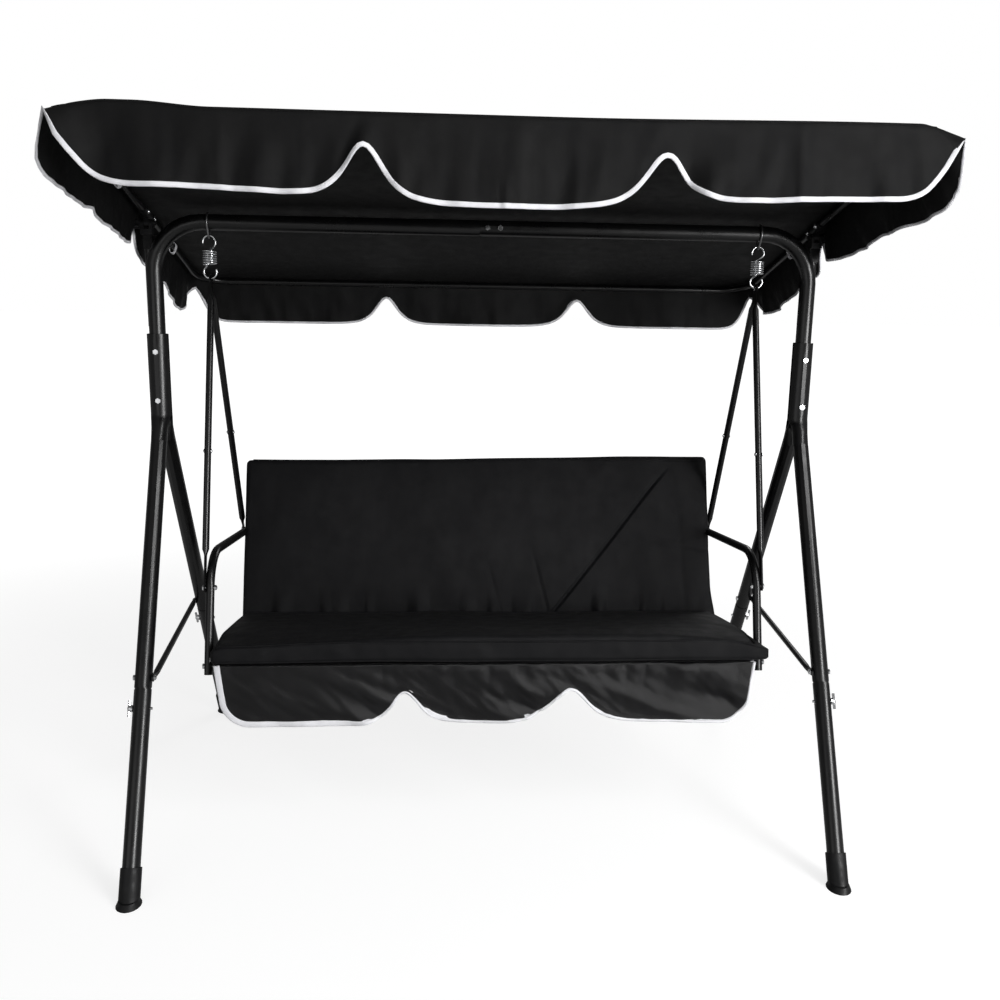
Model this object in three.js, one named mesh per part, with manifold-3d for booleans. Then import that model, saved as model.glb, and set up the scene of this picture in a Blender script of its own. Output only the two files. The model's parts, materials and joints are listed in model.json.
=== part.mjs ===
// Three-seat canopy swing bench. Millimetres, +Z up, +Y towards the backrest, ground at z = 0.
import * as THREE from "three";
import { mergeVertices } from "three/addons/utils/BufferGeometryUtils.js";
import Module from "manifold-3d";

const wasm = await Module();
wasm.setup();

// ---- Driving dimensions ----
const GAP = 0.3; // clearance between neighbouring parts

// Number of flats that stand for a round outline.
const MAIN_SIDES = 12;
const SLIM_SIDES = 10;
const HIDDEN_SIDES = 6; // bores nobody sees into, and bolt holes

const TUBE_R = 19; // main frame tube
const TUBE_BORE_R = 17.5;
const SWAGE_R = 17.1; // reduced end that slides into a tube's bore
const SWAGE_BORE_R = 15.6;

const BAR_Z = 1440; // centre line of the top bar
const SIDE_X = 790; // centre line of the two uprights of the top frame
const BAR_BEND_R = 116;
const UPRIGHT_END_Z = 992;
const BAR_SEAM_X = -20;
const BAR_SWAGE_LENGTH = 70;
const BAR_SCREW_X = [-4, 26];

const POST_OFFSET = { x: 16, y: 25 }; // canopy post, measured from the upright it is welded to
const POST_R = 11;
const POST_BORE_R = 9.5;
const POST_Z = [1196, 1376];

const SLEEVE_TOP_Z = 1180; // top of the half-round clamps that grip the upright
const SLEEVE_END_Z = 990;
const SLEEVE_R = [19.5, 25];
const SLEEVE_HALF_ANGLE = THREE.MathUtils.degToRad(78);
const CLAMP_BOLT_Z = [1138, 1022];

const LEG_BEND = { x: 790, y: 22, z: 955 }; // where a leg turns from upright to slanted
const FOOT = { x: 774, y: 510 }; // where a leg's centre line meets the ground
const LEG_SEAM_Z = 402;
const LEG_SCREW_Z = 364;
const LEG_SWAGE_LENGTH = 85;
const LEG_END_Z = 21;
const BRACE_Z = 425;
const BRACE_R = 7;

const CAP_R = 22.5;
const CAP_BORE_R = 19.3;
const CAP_TOP_Z = 66;
const FLANGE = { x: 27, y: 31, height: 13 };

const BOLT_R = 3.5;

const PIVOT = { y: 5, z: 1435 }; // axis the canopy tilts about
const CANOPY_TILT = THREE.MathUtils.degToRad(15.4);
const ROD_X = 803;
const ROD_R = 8;
const ROD_BORE_R = 7;
const ROD_HEIGHT = 20; // rod centre line above the pivot, square to the roof
const ROD_REACH = 538; // pivot to the front or rear rod, along the slope
const ROD_BEND_R = 85;
const SLEEVE_HALF_LENGTH = 45;

const ROOF_HEIGHT = [30.6, 32.8]; // underside and top of the roof sheet above the pivot
const CANOPY_X = 822.5;
const CANOPY_Y = [-521.5, 542.5];
const CANOPY_WALL = 2.5;
const CANOPY_CORNER_R = 95;
const VALANCE_DROP = { front: 163, rear: 130 };
const VALANCE_NOTCH_X = 285;
const NOTCH = { halfWidth: 95, height: 95 };
const SLIT_HALF_WIDTH = 16;

const HANG_X = 660; // springs and hanger rods
const LOOP_WIRE_R = 2.5;
const LOOP_R = [22, 7]; // centre-line radius over the bar, and at the foot of the loop
const LOOP_END_Z = 1405;

const SPRING = { wire: 2.2, coil: 15.8, turns: 6.5, top: 1377, bottom: 1343, hook: 14 };
const HOOK_TOP_Z = 1410.6;
const HOOK_END_Z = 1311;

const HANGER_R = 8;
const HANGER_FLAT = { thick: 3, width: 20 };
const HANGER_EYE_R = 5.3;
const FRONT_HANGER_FOOT = { y: -193.5, z: 606 };
const REAR_HANGER_FOOT = { y: 294.5, z: 632 };

const ARM_X = 648;
const ARM_R = 10;
const ARM_BORE_R = 8.6;
const ARM_BACK = { y: 320, z: 629 };
const ARM_CORNER = { y: -172.5, z: 682 };
const ARM_BEND_R = 95;
const ARM_FOOT = { y: -246, z: 412 };
const ARM_LOW_BOLT = { y: -240.8, z: 431 };

const SEAT_ORIGIN = { y: 0, z: 408.5 }; // on the underside of the seat cushion
const SEAT_SLOPE = THREE.MathUtils.degToRad(8.8);
const SEAT_FRAME_X = 626;
const SEAT_TUBE_R = 11;
const SEAT_TUBE_BORE_R = 9.5;
const SEAT_TUBE_UP = -14.8;
const SEAT_FRONT = -272;
const SEAT_BEND_R = 27;
const SEAT_CORNER = 203.7; // where the seat tubes turn up into the backrest
const SEAT_STUB = 30; // height of the stubs that take the backrest frame

const BACK_ORIGIN = { y: 147, z: 439 }; // foot of the backrest cushion's front face
const BACK_LEAN = THREE.MathUtils.degToRad(19.6);
const BACK_TUBE_BEHIND = 74.6;
const BACK_TOP = 402;
const BACK_SWAGE_R = 9;

const SEAT_CUSHION = { x: 634, from: -312, to: 127, thick: 56 };
const BACK_CUSHION = { x: 634, from: -38, to: 425, thick: 60 };
const CUSHION_EDGE_R = 16;

const SLING_THICK = 3;
const SKIRT_X = 626;
const SKIRT_Y = -291;
const SKIRT_END_Z = 301;
const SKIRT_NOTCH_X = 195;

// ---- Vectors and paths ----
const V = (x, y, z) => new THREE.Vector3(x, y, z);
const AXIS_X = V(1, 0, 0);
const AXIS_Y = V(0, 1, 0);
const AXIS_Z = V(0, 0, 1);

const direction = (from, to) => to.clone().sub(from).normalize();
const shifted = (point, along, distance) => point.clone().addScaledVector(along, distance);

// A point on the seat: `along` runs backwards down its slope, `up` is square to it.
const SEAT_ALONG = V(0, Math.cos(SEAT_SLOPE), -Math.sin(SEAT_SLOPE));
const SEAT_UP = V(0, Math.sin(SEAT_SLOPE), Math.cos(SEAT_SLOPE));
function seatPoint(x, along, up) {
  const origin = V(x, SEAT_ORIGIN.y, SEAT_ORIGIN.z);
  return origin.addScaledVector(SEAT_ALONG, along).addScaledVector(SEAT_UP, up);
}

// A point on the backrest: `up` runs along its lean, `behind` is square to it.
const BACK_UP = V(0, Math.sin(BACK_LEAN), Math.cos(BACK_LEAN));
const BACK_BEHIND = V(0, Math.cos(BACK_LEAN), -Math.sin(BACK_LEAN));
function backPoint(x, up, behind) {
  const origin = V(x, BACK_ORIGIN.y, BACK_ORIGIN.z);
  return origin.addScaledVector(BACK_UP, up).addScaledVector(BACK_BEHIND, behind);
}

// A point on the canopy: `along` runs backwards down its slope from the pivot.
const CANOPY_ALONG = V(0, Math.cos(CANOPY_TILT), -Math.sin(CANOPY_TILT));
const CANOPY_UP = V(0, Math.sin(CANOPY_TILT), Math.cos(CANOPY_TILT));
function canopyPoint(x, along, up) {
  const origin = V(x, PIVOT.y, PIVOT.z);
  return origin.addScaledVector(CANOPY_ALONG, along).addScaledVector(CANOPY_UP, up);
}

// Stations along straight runs joined by round bends at the inner corners.
function bentPath(corners, bendRadius, steps) {
  const path = [{ at: corners[0], t: direction(corners[0], corners[1]) }];
  for (let i = 1; i < corners.length - 1; i++) {
    const before = direction(corners[i - 1], corners[i]);
    const after = direction(corners[i], corners[i + 1]);
    const turn = before.angleTo(after);
    const inward = shifted(after, before, -before.dot(after)).normalize();
    const start = shifted(corners[i], before, -bendRadius * Math.tan(turn / 2));
    for (let k = 0; k <= steps; k++) {
      const angle = (turn * k) / steps;
      const at = shifted(start, before, bendRadius * Math.sin(angle));
      at.addScaledVector(inward, bendRadius * (1 - Math.cos(angle)));
      const t = before.clone().multiplyScalar(Math.cos(angle));
      path.push({ at, t: t.addScaledVector(inward, Math.sin(angle)) });
    }
  }
  const last = corners.at(-1);
  path.push({ at: last, t: direction(corners.at(-2), last) });
  return path;
}

function straight(from, to) {
  const t = direction(from, to);
  return [{ at: from, t }, { at: to, t }];
}

// The same path with both ends carried further by the given distances.
function stretched(path, atStart, atEnd) {
  const first = { ...path[0], at: shifted(path[0].at, path[0].t, -atStart) };
  const end = path.at(-1);
  return [first, ...path.slice(1, -1), { ...end, at: shifted(end.at, end.t, atEnd) }];
}

// ---- Solids ----
function solidOf(geometry) {
  const bare = new THREE.BufferGeometry();
  bare.setAttribute("position", geometry.getAttribute("position"));
  bare.setIndex(geometry.index);
  const merged = mergeVertices(bare, 1e-4);
  const vertProperties = merged.getAttribute("position").array;
  const triVerts = new Uint32Array(merged.index.array);
  return new wasm.Manifold(new wasm.Mesh({ numProp: 3, vertProperties, triVerts }));
}

function geometryOf(solid) {
  const mesh = solid.getMesh();
  const geometry = new THREE.BufferGeometry();
  geometry.setAttribute("position", new THREE.BufferAttribute(mesh.vertProperties, 3));
  geometry.setIndex(new THREE.BufferAttribute(mesh.triVerts, 1));
  return geometry;
}

function join(...geometries) {
  return geometryOf(geometries.map(solidOf).reduce((whole, next) => whole.add(next)));
}

function cut(geometry, ...tools) {
  const start = solidOf(geometry);
  return geometryOf(tools.map(solidOf).reduce((whole, next) => whole.subtract(next), start));
}

function common(geometry, other) {
  return geometryOf(solidOf(geometry).intersect(solidOf(other)));
}

function circle(radius, sides) {
  const points = [];
  for (let i = 0; i < sides; i++) {
    const angle = ((i + 0.5) * 2 * Math.PI) / sides;
    points.push(new THREE.Vector2(radius * Math.cos(angle), radius * Math.sin(angle)));
  }
  return points;
}

// An outline placed across a path, with its first axis as near to `side` as it can be.
function section(outline, station, side) {
  const u = shifted(side, station.t, -side.dot(station.t)).normalize();
  const v = station.t.clone().cross(u);
  return { outline, at: station.at, u, v };
}

function capTriangles(outline) {
  return THREE.ShapeUtils.triangulateShape(outline, []).map(([a, b, c]) => {
    const [p, q, r] = [outline[a], outline[b], outline[c]];
    const area = (q.x - p.x) * (r.y - p.y) - (q.y - p.y) * (r.x - p.x);
    return area > 0 ? [a, b, c] : [a, c, b];
  });
}

// One closed skin through a row of outlines that all have the same number of points.
function loft(sections, closed = false) {
  const count = sections[0].outline.length;
  const positions = [];
  for (const { outline, at, u, v } of sections) {
    for (const p of outline) {
      positions.push(...shifted(shifted(at, u, p.x), v, p.y).toArray());
    }
  }
  const index = [];
  const rings = closed ? sections.length : sections.length - 1;
  for (let i = 0; i < rings; i++) {
    const a = i * count;
    const b = ((i + 1) % sections.length) * count;
    for (let j = 0; j < count; j++) {
      const k = (j + 1) % count;
      index.push(a + j, a + k, b + k, a + j, b + k, b + j);
    }
  }
  if (!closed) {
    const end = (sections.length - 1) * count;
    for (const [p, q, r] of capTriangles(sections[0].outline)) index.push(r, q, p);
    for (const [p, q, r] of capTriangles(sections.at(-1).outline)) {
      index.push(end + p, end + q, end + r);
    }
  }
  const geometry = new THREE.BufferGeometry();
  geometry.setAttribute("position", new THREE.Float32BufferAttribute(positions, 3));
  geometry.setIndex(index);
  return geometry;
}

// A round bar along a path. A station's own `r` or `side` overrides the shared one.
function tube(path, radius, side, sides = MAIN_SIDES) {
  const across = (at) => section(circle(at.r ?? radius, sides), at, at.side ?? side);
  return loft(path.map(across));
}

function pipe(path, radius, boreRadius, side, sides = MAIN_SIDES, boreSides = sides) {
  const bore = tube(stretched(path, 1, 1), boreRadius, side, boreSides);
  return cut(tube(path, radius, side, sides), bore);
}

function cylinder(from, to, radius, sides = SLIM_SIDES) {
  const path = straight(from, to);
  const side = Math.abs(path[0].t.x) > 0.7 ? AXIS_Y : AXIS_X;
  return tube(path, radius, side, sides);
}

function box(low, high) {
  const size = high.clone().sub(low);
  const geometry = new THREE.BoxGeometry(size.x, size.y, size.z);
  return geometry.translate(...low.clone().add(high).multiplyScalar(0.5).toArray());
}

// A hole across a part. Even its flats are clear of the bolt, so the bolt can turn in it.
function boltHole(centre, axis, reach, radius = BOLT_R) {
  const ends = [-reach, reach].map((distance) => shifted(centre, axis, distance));
  const wall = (radius + GAP) / Math.cos(Math.PI / HIDDEN_SIDES);
  return cylinder(...ends, wall, HIDDEN_SIDES);
}

// A bolt with its nut: hexagons stand on both sides of the grip between `head` and `nut`.
function bolt(head, nut, radius = BOLT_R) {
  const along = direction(head, nut);
  const tail = shifted(nut, along, 5.5);
  return join(
    cylinder(shifted(head, along, -3.5), head, radius * 1.9, 6),
    cylinder(shifted(head, along, -1), tail, radius, HIDDEN_SIDES),
    cylinder(nut, shifted(nut, along, 4), radius * 1.8, 6),
  );
}

// ---- Materials and assembly ----
const group = new THREE.Group();
group.name = "canopy_swing_bench";

const MATERIALS = {
  frame_paint: { color: 0x17181a, roughness: 0.42, metalness: 0.55 },
  zinc: { color: 0xb9bcc0, roughness: 0.3, metalness: 1 },
  plastic: { color: 0x121214, roughness: 0.5, metalness: 0 },
  fabric: { color: 0x121214, roughness: 0.9, metalness: 0 },
};
for (const [name, look] of Object.entries(MATERIALS)) {
  MATERIALS[name] = new THREE.MeshStandardMaterial(look);
}

function add(name, geometry, material) {
  const flat = geometry.index ? geometry.toNonIndexed() : geometry;
  flat.computeVertexNormals();
  const mesh = new THREE.Mesh(flat, MATERIALS[material]);
  mesh.name = name;
  group.add(mesh);
}

const SIDES = { left: -1, right: 1 };
const ENDS = { front: -1, rear: 1 };

// ---- Top frame ----
function barScrewHoles() {
  return BAR_SCREW_X.map((x) => boltHole(V(x, 0, BAR_Z), AXIS_Y, 30));
}

function uprightHoles(side) {
  return CLAMP_BOLT_Z.map((z) => boltHole(V(side * SIDE_X, 0, z), AXIS_Y, 40));
}

// Stations of one half, from `startX` on the bar to the foot of its upright.
function halfFramePath(side, startX) {
  const corners = [V(startX, 0, BAR_Z), V(side * SIDE_X, 0, BAR_Z)];
  corners.push(V(side * SIDE_X, 0, UPRIGHT_END_Z));
  return bentPath(corners, BAR_BEND_R, 8);
}

// The left half ends in a reduced length that enters the right half.
function leftSwage(radius, shoulder) {
  const t = V(-1, 0, 0);
  const end = BAR_SEAM_X + BAR_SWAGE_LENGTH;
  return [end, BAR_SEAM_X - shoulder].map((x) => ({ at: V(x, 0, BAR_Z), t, r: radius }));
}

function postWithWeld(side) {
  const x = side * (SIDE_X + POST_OFFSET.x);
  const y = POST_OFFSET.y;
  const reach = TUBE_R / Math.hypot(POST_OFFSET.x, y);
  const weldX = side * (SIDE_X + POST_OFFSET.x * reach);
  const post = cylinder(V(x, y, POST_Z[0]), V(x, y, POST_Z[1]), POST_R);
  const foot = V(weldX, y * reach, POST_Z[0] + 4);
  const weld = cylinder(foot, V(weldX, y * reach, 1330), 4, HIDDEN_SIDES);
  return join(post, weld);
}

function postBore(side) {
  const x = side * (SIDE_X + POST_OFFSET.x);
  const y = POST_OFFSET.y;
  return cylinder(V(x, y, POST_Z[0] - 1), V(x, y, POST_Z[1] + 1), POST_BORE_R);
}

function topFrameHalf(side) {
  let outer = halfFramePath(side, BAR_SEAM_X + GAP);
  let inner = stretched(outer, 1, 1);
  if (side < 0) {
    outer = [...leftSwage(SWAGE_R, 0), ...halfFramePath(side, BAR_SEAM_X - 4)];
    inner = [...leftSwage(SWAGE_BORE_R, 3), ...halfFramePath(side, BAR_SEAM_X - 8)];
    inner = stretched(inner, 1, 1);
  }
  const bar = join(tube(outer, TUBE_R, AXIS_Y), postWithWeld(side));
  const bore = tube(inner, TUBE_BORE_R, AXIS_Y, side < 0 ? HIDDEN_SIDES : MAIN_SIDES);
  return cut(bar, bore, postBore(side), ...barScrewHoles(), ...uprightHoles(side));
}

function addTopFrame() {
  for (const [name, side] of Object.entries(SIDES)) {
    add(`top_bar_${name}`, topFrameHalf(side), "frame_paint");
  }
  BAR_SCREW_X.forEach((x, i) => {
    const reach = TUBE_R + GAP;
    add(`top_bar_screw_${i + 1}`, bolt(V(x, -reach, BAR_Z), V(x, reach, BAR_Z)), "zinc");
  });
}

// ---- Legs ----
const legBend = (side, end) => V(side * LEG_BEND.x, end * LEG_BEND.y, LEG_BEND.z);
const legFoot = (side, end) => V(side * FOOT.x, end * FOOT.y, 0);
const legDown = (side, end) => direction(legBend(side, end), legFoot(side, end));

// The point of a leg's slanted centre line at a height.
function legPoint(side, end, z) {
  const bend = legBend(side, end);
  const down = legDown(side, end);
  return shifted(bend, down, (z - bend.z) / down.z);
}

// Outline of the half-round clamp: an outer arc and back along an inner one.
// `shape` 0 gives the clamp, 1 the round tube it is pressed from.
function clampOutline(end, shape, centreY) {
  const count = 8;
  const points = [];
  for (let i = 0; i < 2 * count; i++) {
    const inner = i >= count;
    const step = inner ? 2 * count - 1 - i : i;
    const angle = SLEEVE_HALF_ANGLE * ((2 * step) / (count - 1) - 1);
    const clampR = inner ? SLEEVE_R[0] : SLEEVE_R[1];
    const clamp = [clampR * Math.sin(angle), clampR * Math.cos(angle)];
    const roundAngle = inner ? Math.PI - angle : angle;
    const round = [TUBE_R * Math.sin(roundAngle), TUBE_R * Math.cos(roundAngle) + centreY];
    const x = THREE.MathUtils.lerp(clamp[0], round[0], shape);
    const y = THREE.MathUtils.lerp(clamp[1], round[1], shape);
    points.push(new THREE.Vector2(x, -end * y));
  }
  return end > 0 ? points : points.reverse();
}

function legClamp(side, end) {
  const x = side * SIDE_X;
  const down = legDown(side, end);
  const upright = V(0, 0, -1);
  const lean = (share) => upright.clone().lerp(down, share).normalize();
  const rows = [
    { at: V(x, 0, SLEEVE_TOP_Z), t: upright, shape: 0, centre: 0 },
    { at: V(x, 0, SLEEVE_END_Z), t: upright, shape: 0, centre: 0 },
    { at: V(x, end * 4, SLEEVE_END_Z - 12), t: lean(0.2), shape: 0.3, centre: 14 },
    { at: V(x, end * 11, SLEEVE_END_Z - 24), t: lean(0.45), shape: 0.62, centre: 8 },
    { at: legBend(side, end), t: lean(0.8), shape: 0.88, centre: 1 },
    { at: legPoint(side, end, LEG_BEND.z - 26), t: down, shape: 1, centre: 0 },
    { at: legPoint(side, end, LEG_BEND.z - 32), t: down, shape: 1, centre: 0 },
  ];
  return loft(rows.map((row) => section(clampOutline(end, row.shape, row.centre), row, AXIS_X)));
}

function legUpper(side, end) {
  const down = legDown(side, end);
  const top = legPoint(side, end, LEG_BEND.z - 31);
  const shoulder = legPoint(side, end, LEG_SEAM_Z + 4);
  const seam = legPoint(side, end, LEG_SEAM_Z);
  const tip = shifted(seam, down, LEG_SWAGE_LENGTH);
  const swaged = (r, atShoulder) => [
    { at: top, t: down },
    { at: atShoulder, t: down },
    { at: seam, t: down, r },
    { at: tip, t: down, r },
  ];
  const outer = tube(swaged(SWAGE_R, shoulder), TUBE_R, AXIS_X);
  const innerPath = swaged(SWAGE_BORE_R, shifted(shoulder, down, -4));
  const bore = tube(stretched(innerPath, -6, 1), TUBE_BORE_R, AXIS_X, HIDDEN_SIDES);
  const clampHoles = CLAMP_BOLT_Z.map((z) => boltHole(V(side * SIDE_X, end * 24, z), AXIS_Y, 16));
  const screwHole = boltHole(legPoint(side, end, LEG_SCREW_Z), AXIS_X, 40);
  const braceHole = boltHole(legPoint(side, end, BRACE_Z), AXIS_X, 40);
  return cut(join(legClamp(side, end), outer), bore, ...clampHoles, screwHole, braceHole);
}

function legLower(side, end) {
  const down = legDown(side, end);
  const from = shifted(legPoint(side, end, LEG_SEAM_Z), down, GAP);
  const path = straight(from, legPoint(side, end, LEG_END_Z));
  const screwHole = boltHole(legPoint(side, end, LEG_SCREW_Z), AXIS_X, 40);
  return cut(pipe(path, TUBE_R, TUBE_BORE_R, AXIS_X), screwHole);
}

function footCap(side, end) {
  const down = legDown(side, end);
  const top = legPoint(side, end, CAP_TOP_Z);
  const collar = cylinder(top, shifted(legFoot(side, end), down, 20), CAP_R, MAIN_SIDES);
  const rim = new THREE.CylinderGeometry(0.78, 1, FLANGE.height, 18).rotateX(Math.PI / 2);
  rim.scale(FLANGE.x, FLANGE.y, 1).translate(side * FOOT.x, end * FOOT.y, FLANGE.height / 2);
  const above = box(V(-2000, -2000, 0), V(2000, 2000, 200));
  const bottom = legPoint(side, end, LEG_END_Z - 0.4);
  const socket = cylinder(bottom, shifted(top, down, -20), CAP_BORE_R, MAIN_SIDES);
  return cut(common(join(collar, rim), above), socket);
}

// A screw with a two-winged head on the leg's outer side.
function wingScrew(side, end) {
  const at = legPoint(side, end, LEG_SCREW_Z);
  const outward = V(side, 0, 0);
  const face = shifted(at, outward, TUBE_R + GAP);
  const hub = cylinder(face, shifted(face, outward, 7), 8);
  const wingAxis = legDown(side, end);
  const wings = [-1, 1].map((way) => {
    const middle = shifted(shifted(face, outward, 8), wingAxis, way * 11);
    return cylinder(shifted(middle, wingAxis, -7), shifted(middle, wingAxis, 7), 3.2, HIDDEN_SIDES);
  });
  const core = cylinder(shifted(face, outward, 6), shifted(face, outward, 11), 5, 8);
  const inside = shifted(at, outward, -(TUBE_R + GAP));
  const shank = cylinder(shifted(inside, outward, -4), shifted(face, outward, 3), BOLT_R, HIDDEN_SIDES);
  return join(hub, ...wings, core, shank);
}

function addLegs() {
  for (const [sideName, side] of Object.entries(SIDES)) {
    for (const [endName, end] of Object.entries(ENDS)) {
      const tag = `${endName}_${sideName}`;
      add(`leg_upper_${tag}`, legUpper(side, end), "frame_paint");
      add(`leg_lower_${tag}`, legLower(side, end), "frame_paint");
      add(`foot_cap_${tag}`, footCap(side, end), "plastic");
      add(`wing_screw_${tag}`, wingScrew(side, end), "plastic");
    }
    CLAMP_BOLT_Z.forEach((z, i) => {
      const reach = SLEEVE_R[1] + GAP;
      const head = V(side * SIDE_X, -reach, z);
      add(`clamp_bolt_${sideName}_${i + 1}`, bolt(head, V(side * SIDE_X, reach, z)), "zinc");
    });
  }
}

// ---- Rods with pressed flat ends ----
// `thick` 0 leaves a station round; otherwise it is pressed flat across the side axis.
function pressedOutline(radius, thick, width, sides = SLIM_SIDES) {
  const round = circle(radius, sides);
  if (!thick) return round;
  return round.map(({ x, y }) => {
    const spread = Math.sign(y) * Math.min(1, Math.abs(y / radius) * 1.04);
    return new THREE.Vector2((Math.sign(x) * thick) / 2, (spread * width) / 2);
  });
}

// A straight rod flattened for `flats[0]` and `flats[1]` at its ends, which stay square to X.
function flatEndedRod(from, to, radius, flats, flat) {
  const t = direction(from, to);
  const length = from.distanceTo(to);
  const rows = [
    [0, flat.thick, flat.width * 0.55],
    [5, flat.thick, flat.width],
    [flats[0], flat.thick, flat.width],
    [flats[0] + 16, 0, 0],
    [length - flats[1] - 16, 0, 0],
    [length - flats[1], flat.thick, flat.width],
    [length - 5, flat.thick, flat.width],
    [length, flat.thick, flat.width * 0.55],
  ];
  return loft(rows.map(([distance, thick, width]) => {
    const station = { at: shifted(from, t, distance), t };
    return section(pressedOutline(radius, thick, width), station, AXIS_X);
  }));
}

// ---- Braces between the legs of each side ----
const BRACE_FLAT = { thick: 3, width: 17 };

function braceEnd(side, end) {
  const leg = legPoint(side, end, BRACE_Z);
  const offset = TUBE_R + GAP + BRACE_FLAT.thick / 2;
  return shifted(leg, V(end * side, 0, 0), offset);
}

function brace(side) {
  const front = braceEnd(side, -1);
  const rear = braceEnd(side, 1);
  const rows = [
    [-10, 0, 0.55, true],
    [-5, 0, 1, true],
    [16, 0, 1, true],
    [34, 0.03, 0, false],
  ];
  const place = (end, [inset, share, width, flat]) => {
    const [near, far] = end < 0 ? [front, rear] : [rear, front];
    const x = THREE.MathUtils.lerp(near.x, far.x, share);
    const at = V(x, near.y - end * inset, BRACE_Z);
    const thick = flat ? BRACE_FLAT.thick : 0;
    const outline = pressedOutline(BRACE_R, thick, BRACE_FLAT.width * width);
    return section(outline, { at, t: AXIS_Y }, AXIS_X);
  };
  const sections = [
    ...rows.map((row) => place(-1, row)),
    ...rows.toReversed().map((row) => place(1, row)),
  ];
  return cut(loft(sections), boltHole(front, AXIS_X, 10), boltHole(rear, AXIS_X, 10));
}

// Clamps the brace to the leg: the nut is on the brace, the head on the far side of the leg.
function braceBolt(side, end) {
  const leg = legPoint(side, end, BRACE_Z);
  const towards = V(end * side, 0, 0);
  const head = shifted(leg, towards, -(TUBE_R + GAP));
  return bolt(head, shifted(leg, towards, TUBE_R + BRACE_FLAT.thick + 2 * GAP));
}

function addBraces() {
  for (const [name, side] of Object.entries(SIDES)) {
    add(`brace_${name}`, brace(side), "frame_paint");
    add(`brace_bolt_front_${name}`, braceBolt(side, -1), "zinc");
    add(`brace_bolt_rear_${name}`, braceBolt(side, 1), "zinc");
  }
}

// ---- Canopy support and frame ----
const EAR = { inner: [789.5, 797], outer: [809, 816.5], r: 9.5 };
const LUG_X = [797.5, 808.5];
const PIVOT_BOLT_R = 4;

const mirrored = (side, [a, b]) => (side > 0 ? [a, b] : [-b, -a]);

function spanBox(side, xs, ys, zs) {
  const [x0, x1] = mirrored(side, xs);
  return box(V(x0, ys[0], zs[0]), V(x1, ys[1], zs[1]));
}

function ear(side, xs) {
  const [x0, x1] = mirrored(side, xs);
  const neck = spanBox(side, xs, [PIVOT.y - EAR.r, PIVOT.y + EAR.r], [1420, PIVOT.z]);
  const eye = cylinder(V(x0, PIVOT.y, PIVOT.z), V(x1, PIVOT.y, PIVOT.z), EAR.r);
  return join(neck, eye);
}

// A moulded block: its plug sits in the post, its two ears hold the canopy pivot.
function canopyBracket(side) {
  const postX = side * (SIDE_X + POST_OFFSET.x);
  const top = V(postX, POST_OFFSET.y, POST_Z[1] + 4);
  const plug = cylinder(V(postX, POST_OFFSET.y, POST_Z[1] - 24), top, POST_BORE_R - GAP);
  const lower = spanBox(side, [795, 816.5], [14, 38], [POST_Z[1] + GAP, 1412]);
  const upper = spanBox(side, [789.5, 816.5], [-8, 38], [1409, 1422]);
  const block = join(plug, lower, upper, ear(side, EAR.inner), ear(side, EAR.outer));
  return cut(block, boltHole(V(side * ROD_X, PIVOT.y, PIVOT.z), AXIS_X, 30, PIVOT_BOLT_R));
}

// Lobed hand knob on the outer side, in one piece with the pivot bolt.
function canopyKnob(side) {
  const at = (x) => V(side * x, PIVOT.y, PIVOT.z);
  const face = EAR.outer[1] + GAP;
  const disc = cylinder(at(face), at(face + 14), 9);
  const lobes = [0, 1, 2, 3, 4].map((i) => {
    const angle = (i * 2 * Math.PI) / 5;
    const offset = V(0, 8.6 * Math.cos(angle), 8.6 * Math.sin(angle));
    return cylinder(at(face + 3).add(offset), at(face + 16).add(offset), 4.2, 7);
  });
  const nutFace = EAR.inner[0] - GAP;
  const shank = cylinder(at(nutFace - 6), at(face + 2), PIVOT_BOLT_R, HIDDEN_SIDES);
  const nut = cylinder(at(nutFace - 4), at(nutFace), 7, 6);
  return join(disc, ...lobes, shank, nut);
}

// Sleeve that takes the ends of both rods, with a lug below it for the pivot.
function canopyJoiner(side) {
  const x = side * ROD_X;
  const ends = [-SLEEVE_HALF_LENGTH, SLEEVE_HALF_LENGTH];
  const [from, to] = ends.map((along) => canopyPoint(x, along, ROD_HEIGHT));
  const sleeve = pipe(straight(from, to), 10.2, ROD_R + GAP, CANOPY_UP, SLIM_SIDES);
  const [x0, x1] = mirrored(side, LUG_X);
  const eye = cylinder(V(x0, PIVOT.y, PIVOT.z), V(x1, PIVOT.y, PIVOT.z), 9);
  const t = AXIS_X;
  const outline = [[-9, 0], [9, 0], [9, ROD_HEIGHT - 8.8], [-9, ROD_HEIGHT - 8.8]];
  const points = outline.map(([along, up]) => new THREE.Vector2(along, up));
  const frame = { outline: points, u: CANOPY_ALONG, v: CANOPY_UP };
  const neck = loft([x0, x1].map((at) => ({ ...frame, at: V(at, PIVOT.y, PIVOT.z) })));
  const hole = boltHole(V(x, PIVOT.y, PIVOT.z), t, 20, PIVOT_BOLT_R);
  return cut(join(sleeve, eye, neck), hole);
}

// U-shaped rod around the front or rear of the roof, its ends inside the joiners.
function canopyRod(end) {
  const inner = end * 4;
  const corners = [
    canopyPoint(-ROD_X, inner, ROD_HEIGHT),
    canopyPoint(-ROD_X, end * ROD_REACH, ROD_HEIGHT),
    canopyPoint(ROD_X, end * ROD_REACH, ROD_HEIGHT),
    canopyPoint(ROD_X, inner, ROD_HEIGHT),
  ];
  const path = bentPath(corners, ROD_BEND_R, 5);
  return pipe(path, ROD_R, ROD_BORE_R, CANOPY_UP, SLIM_SIDES, HIDDEN_SIDES);
}

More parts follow.
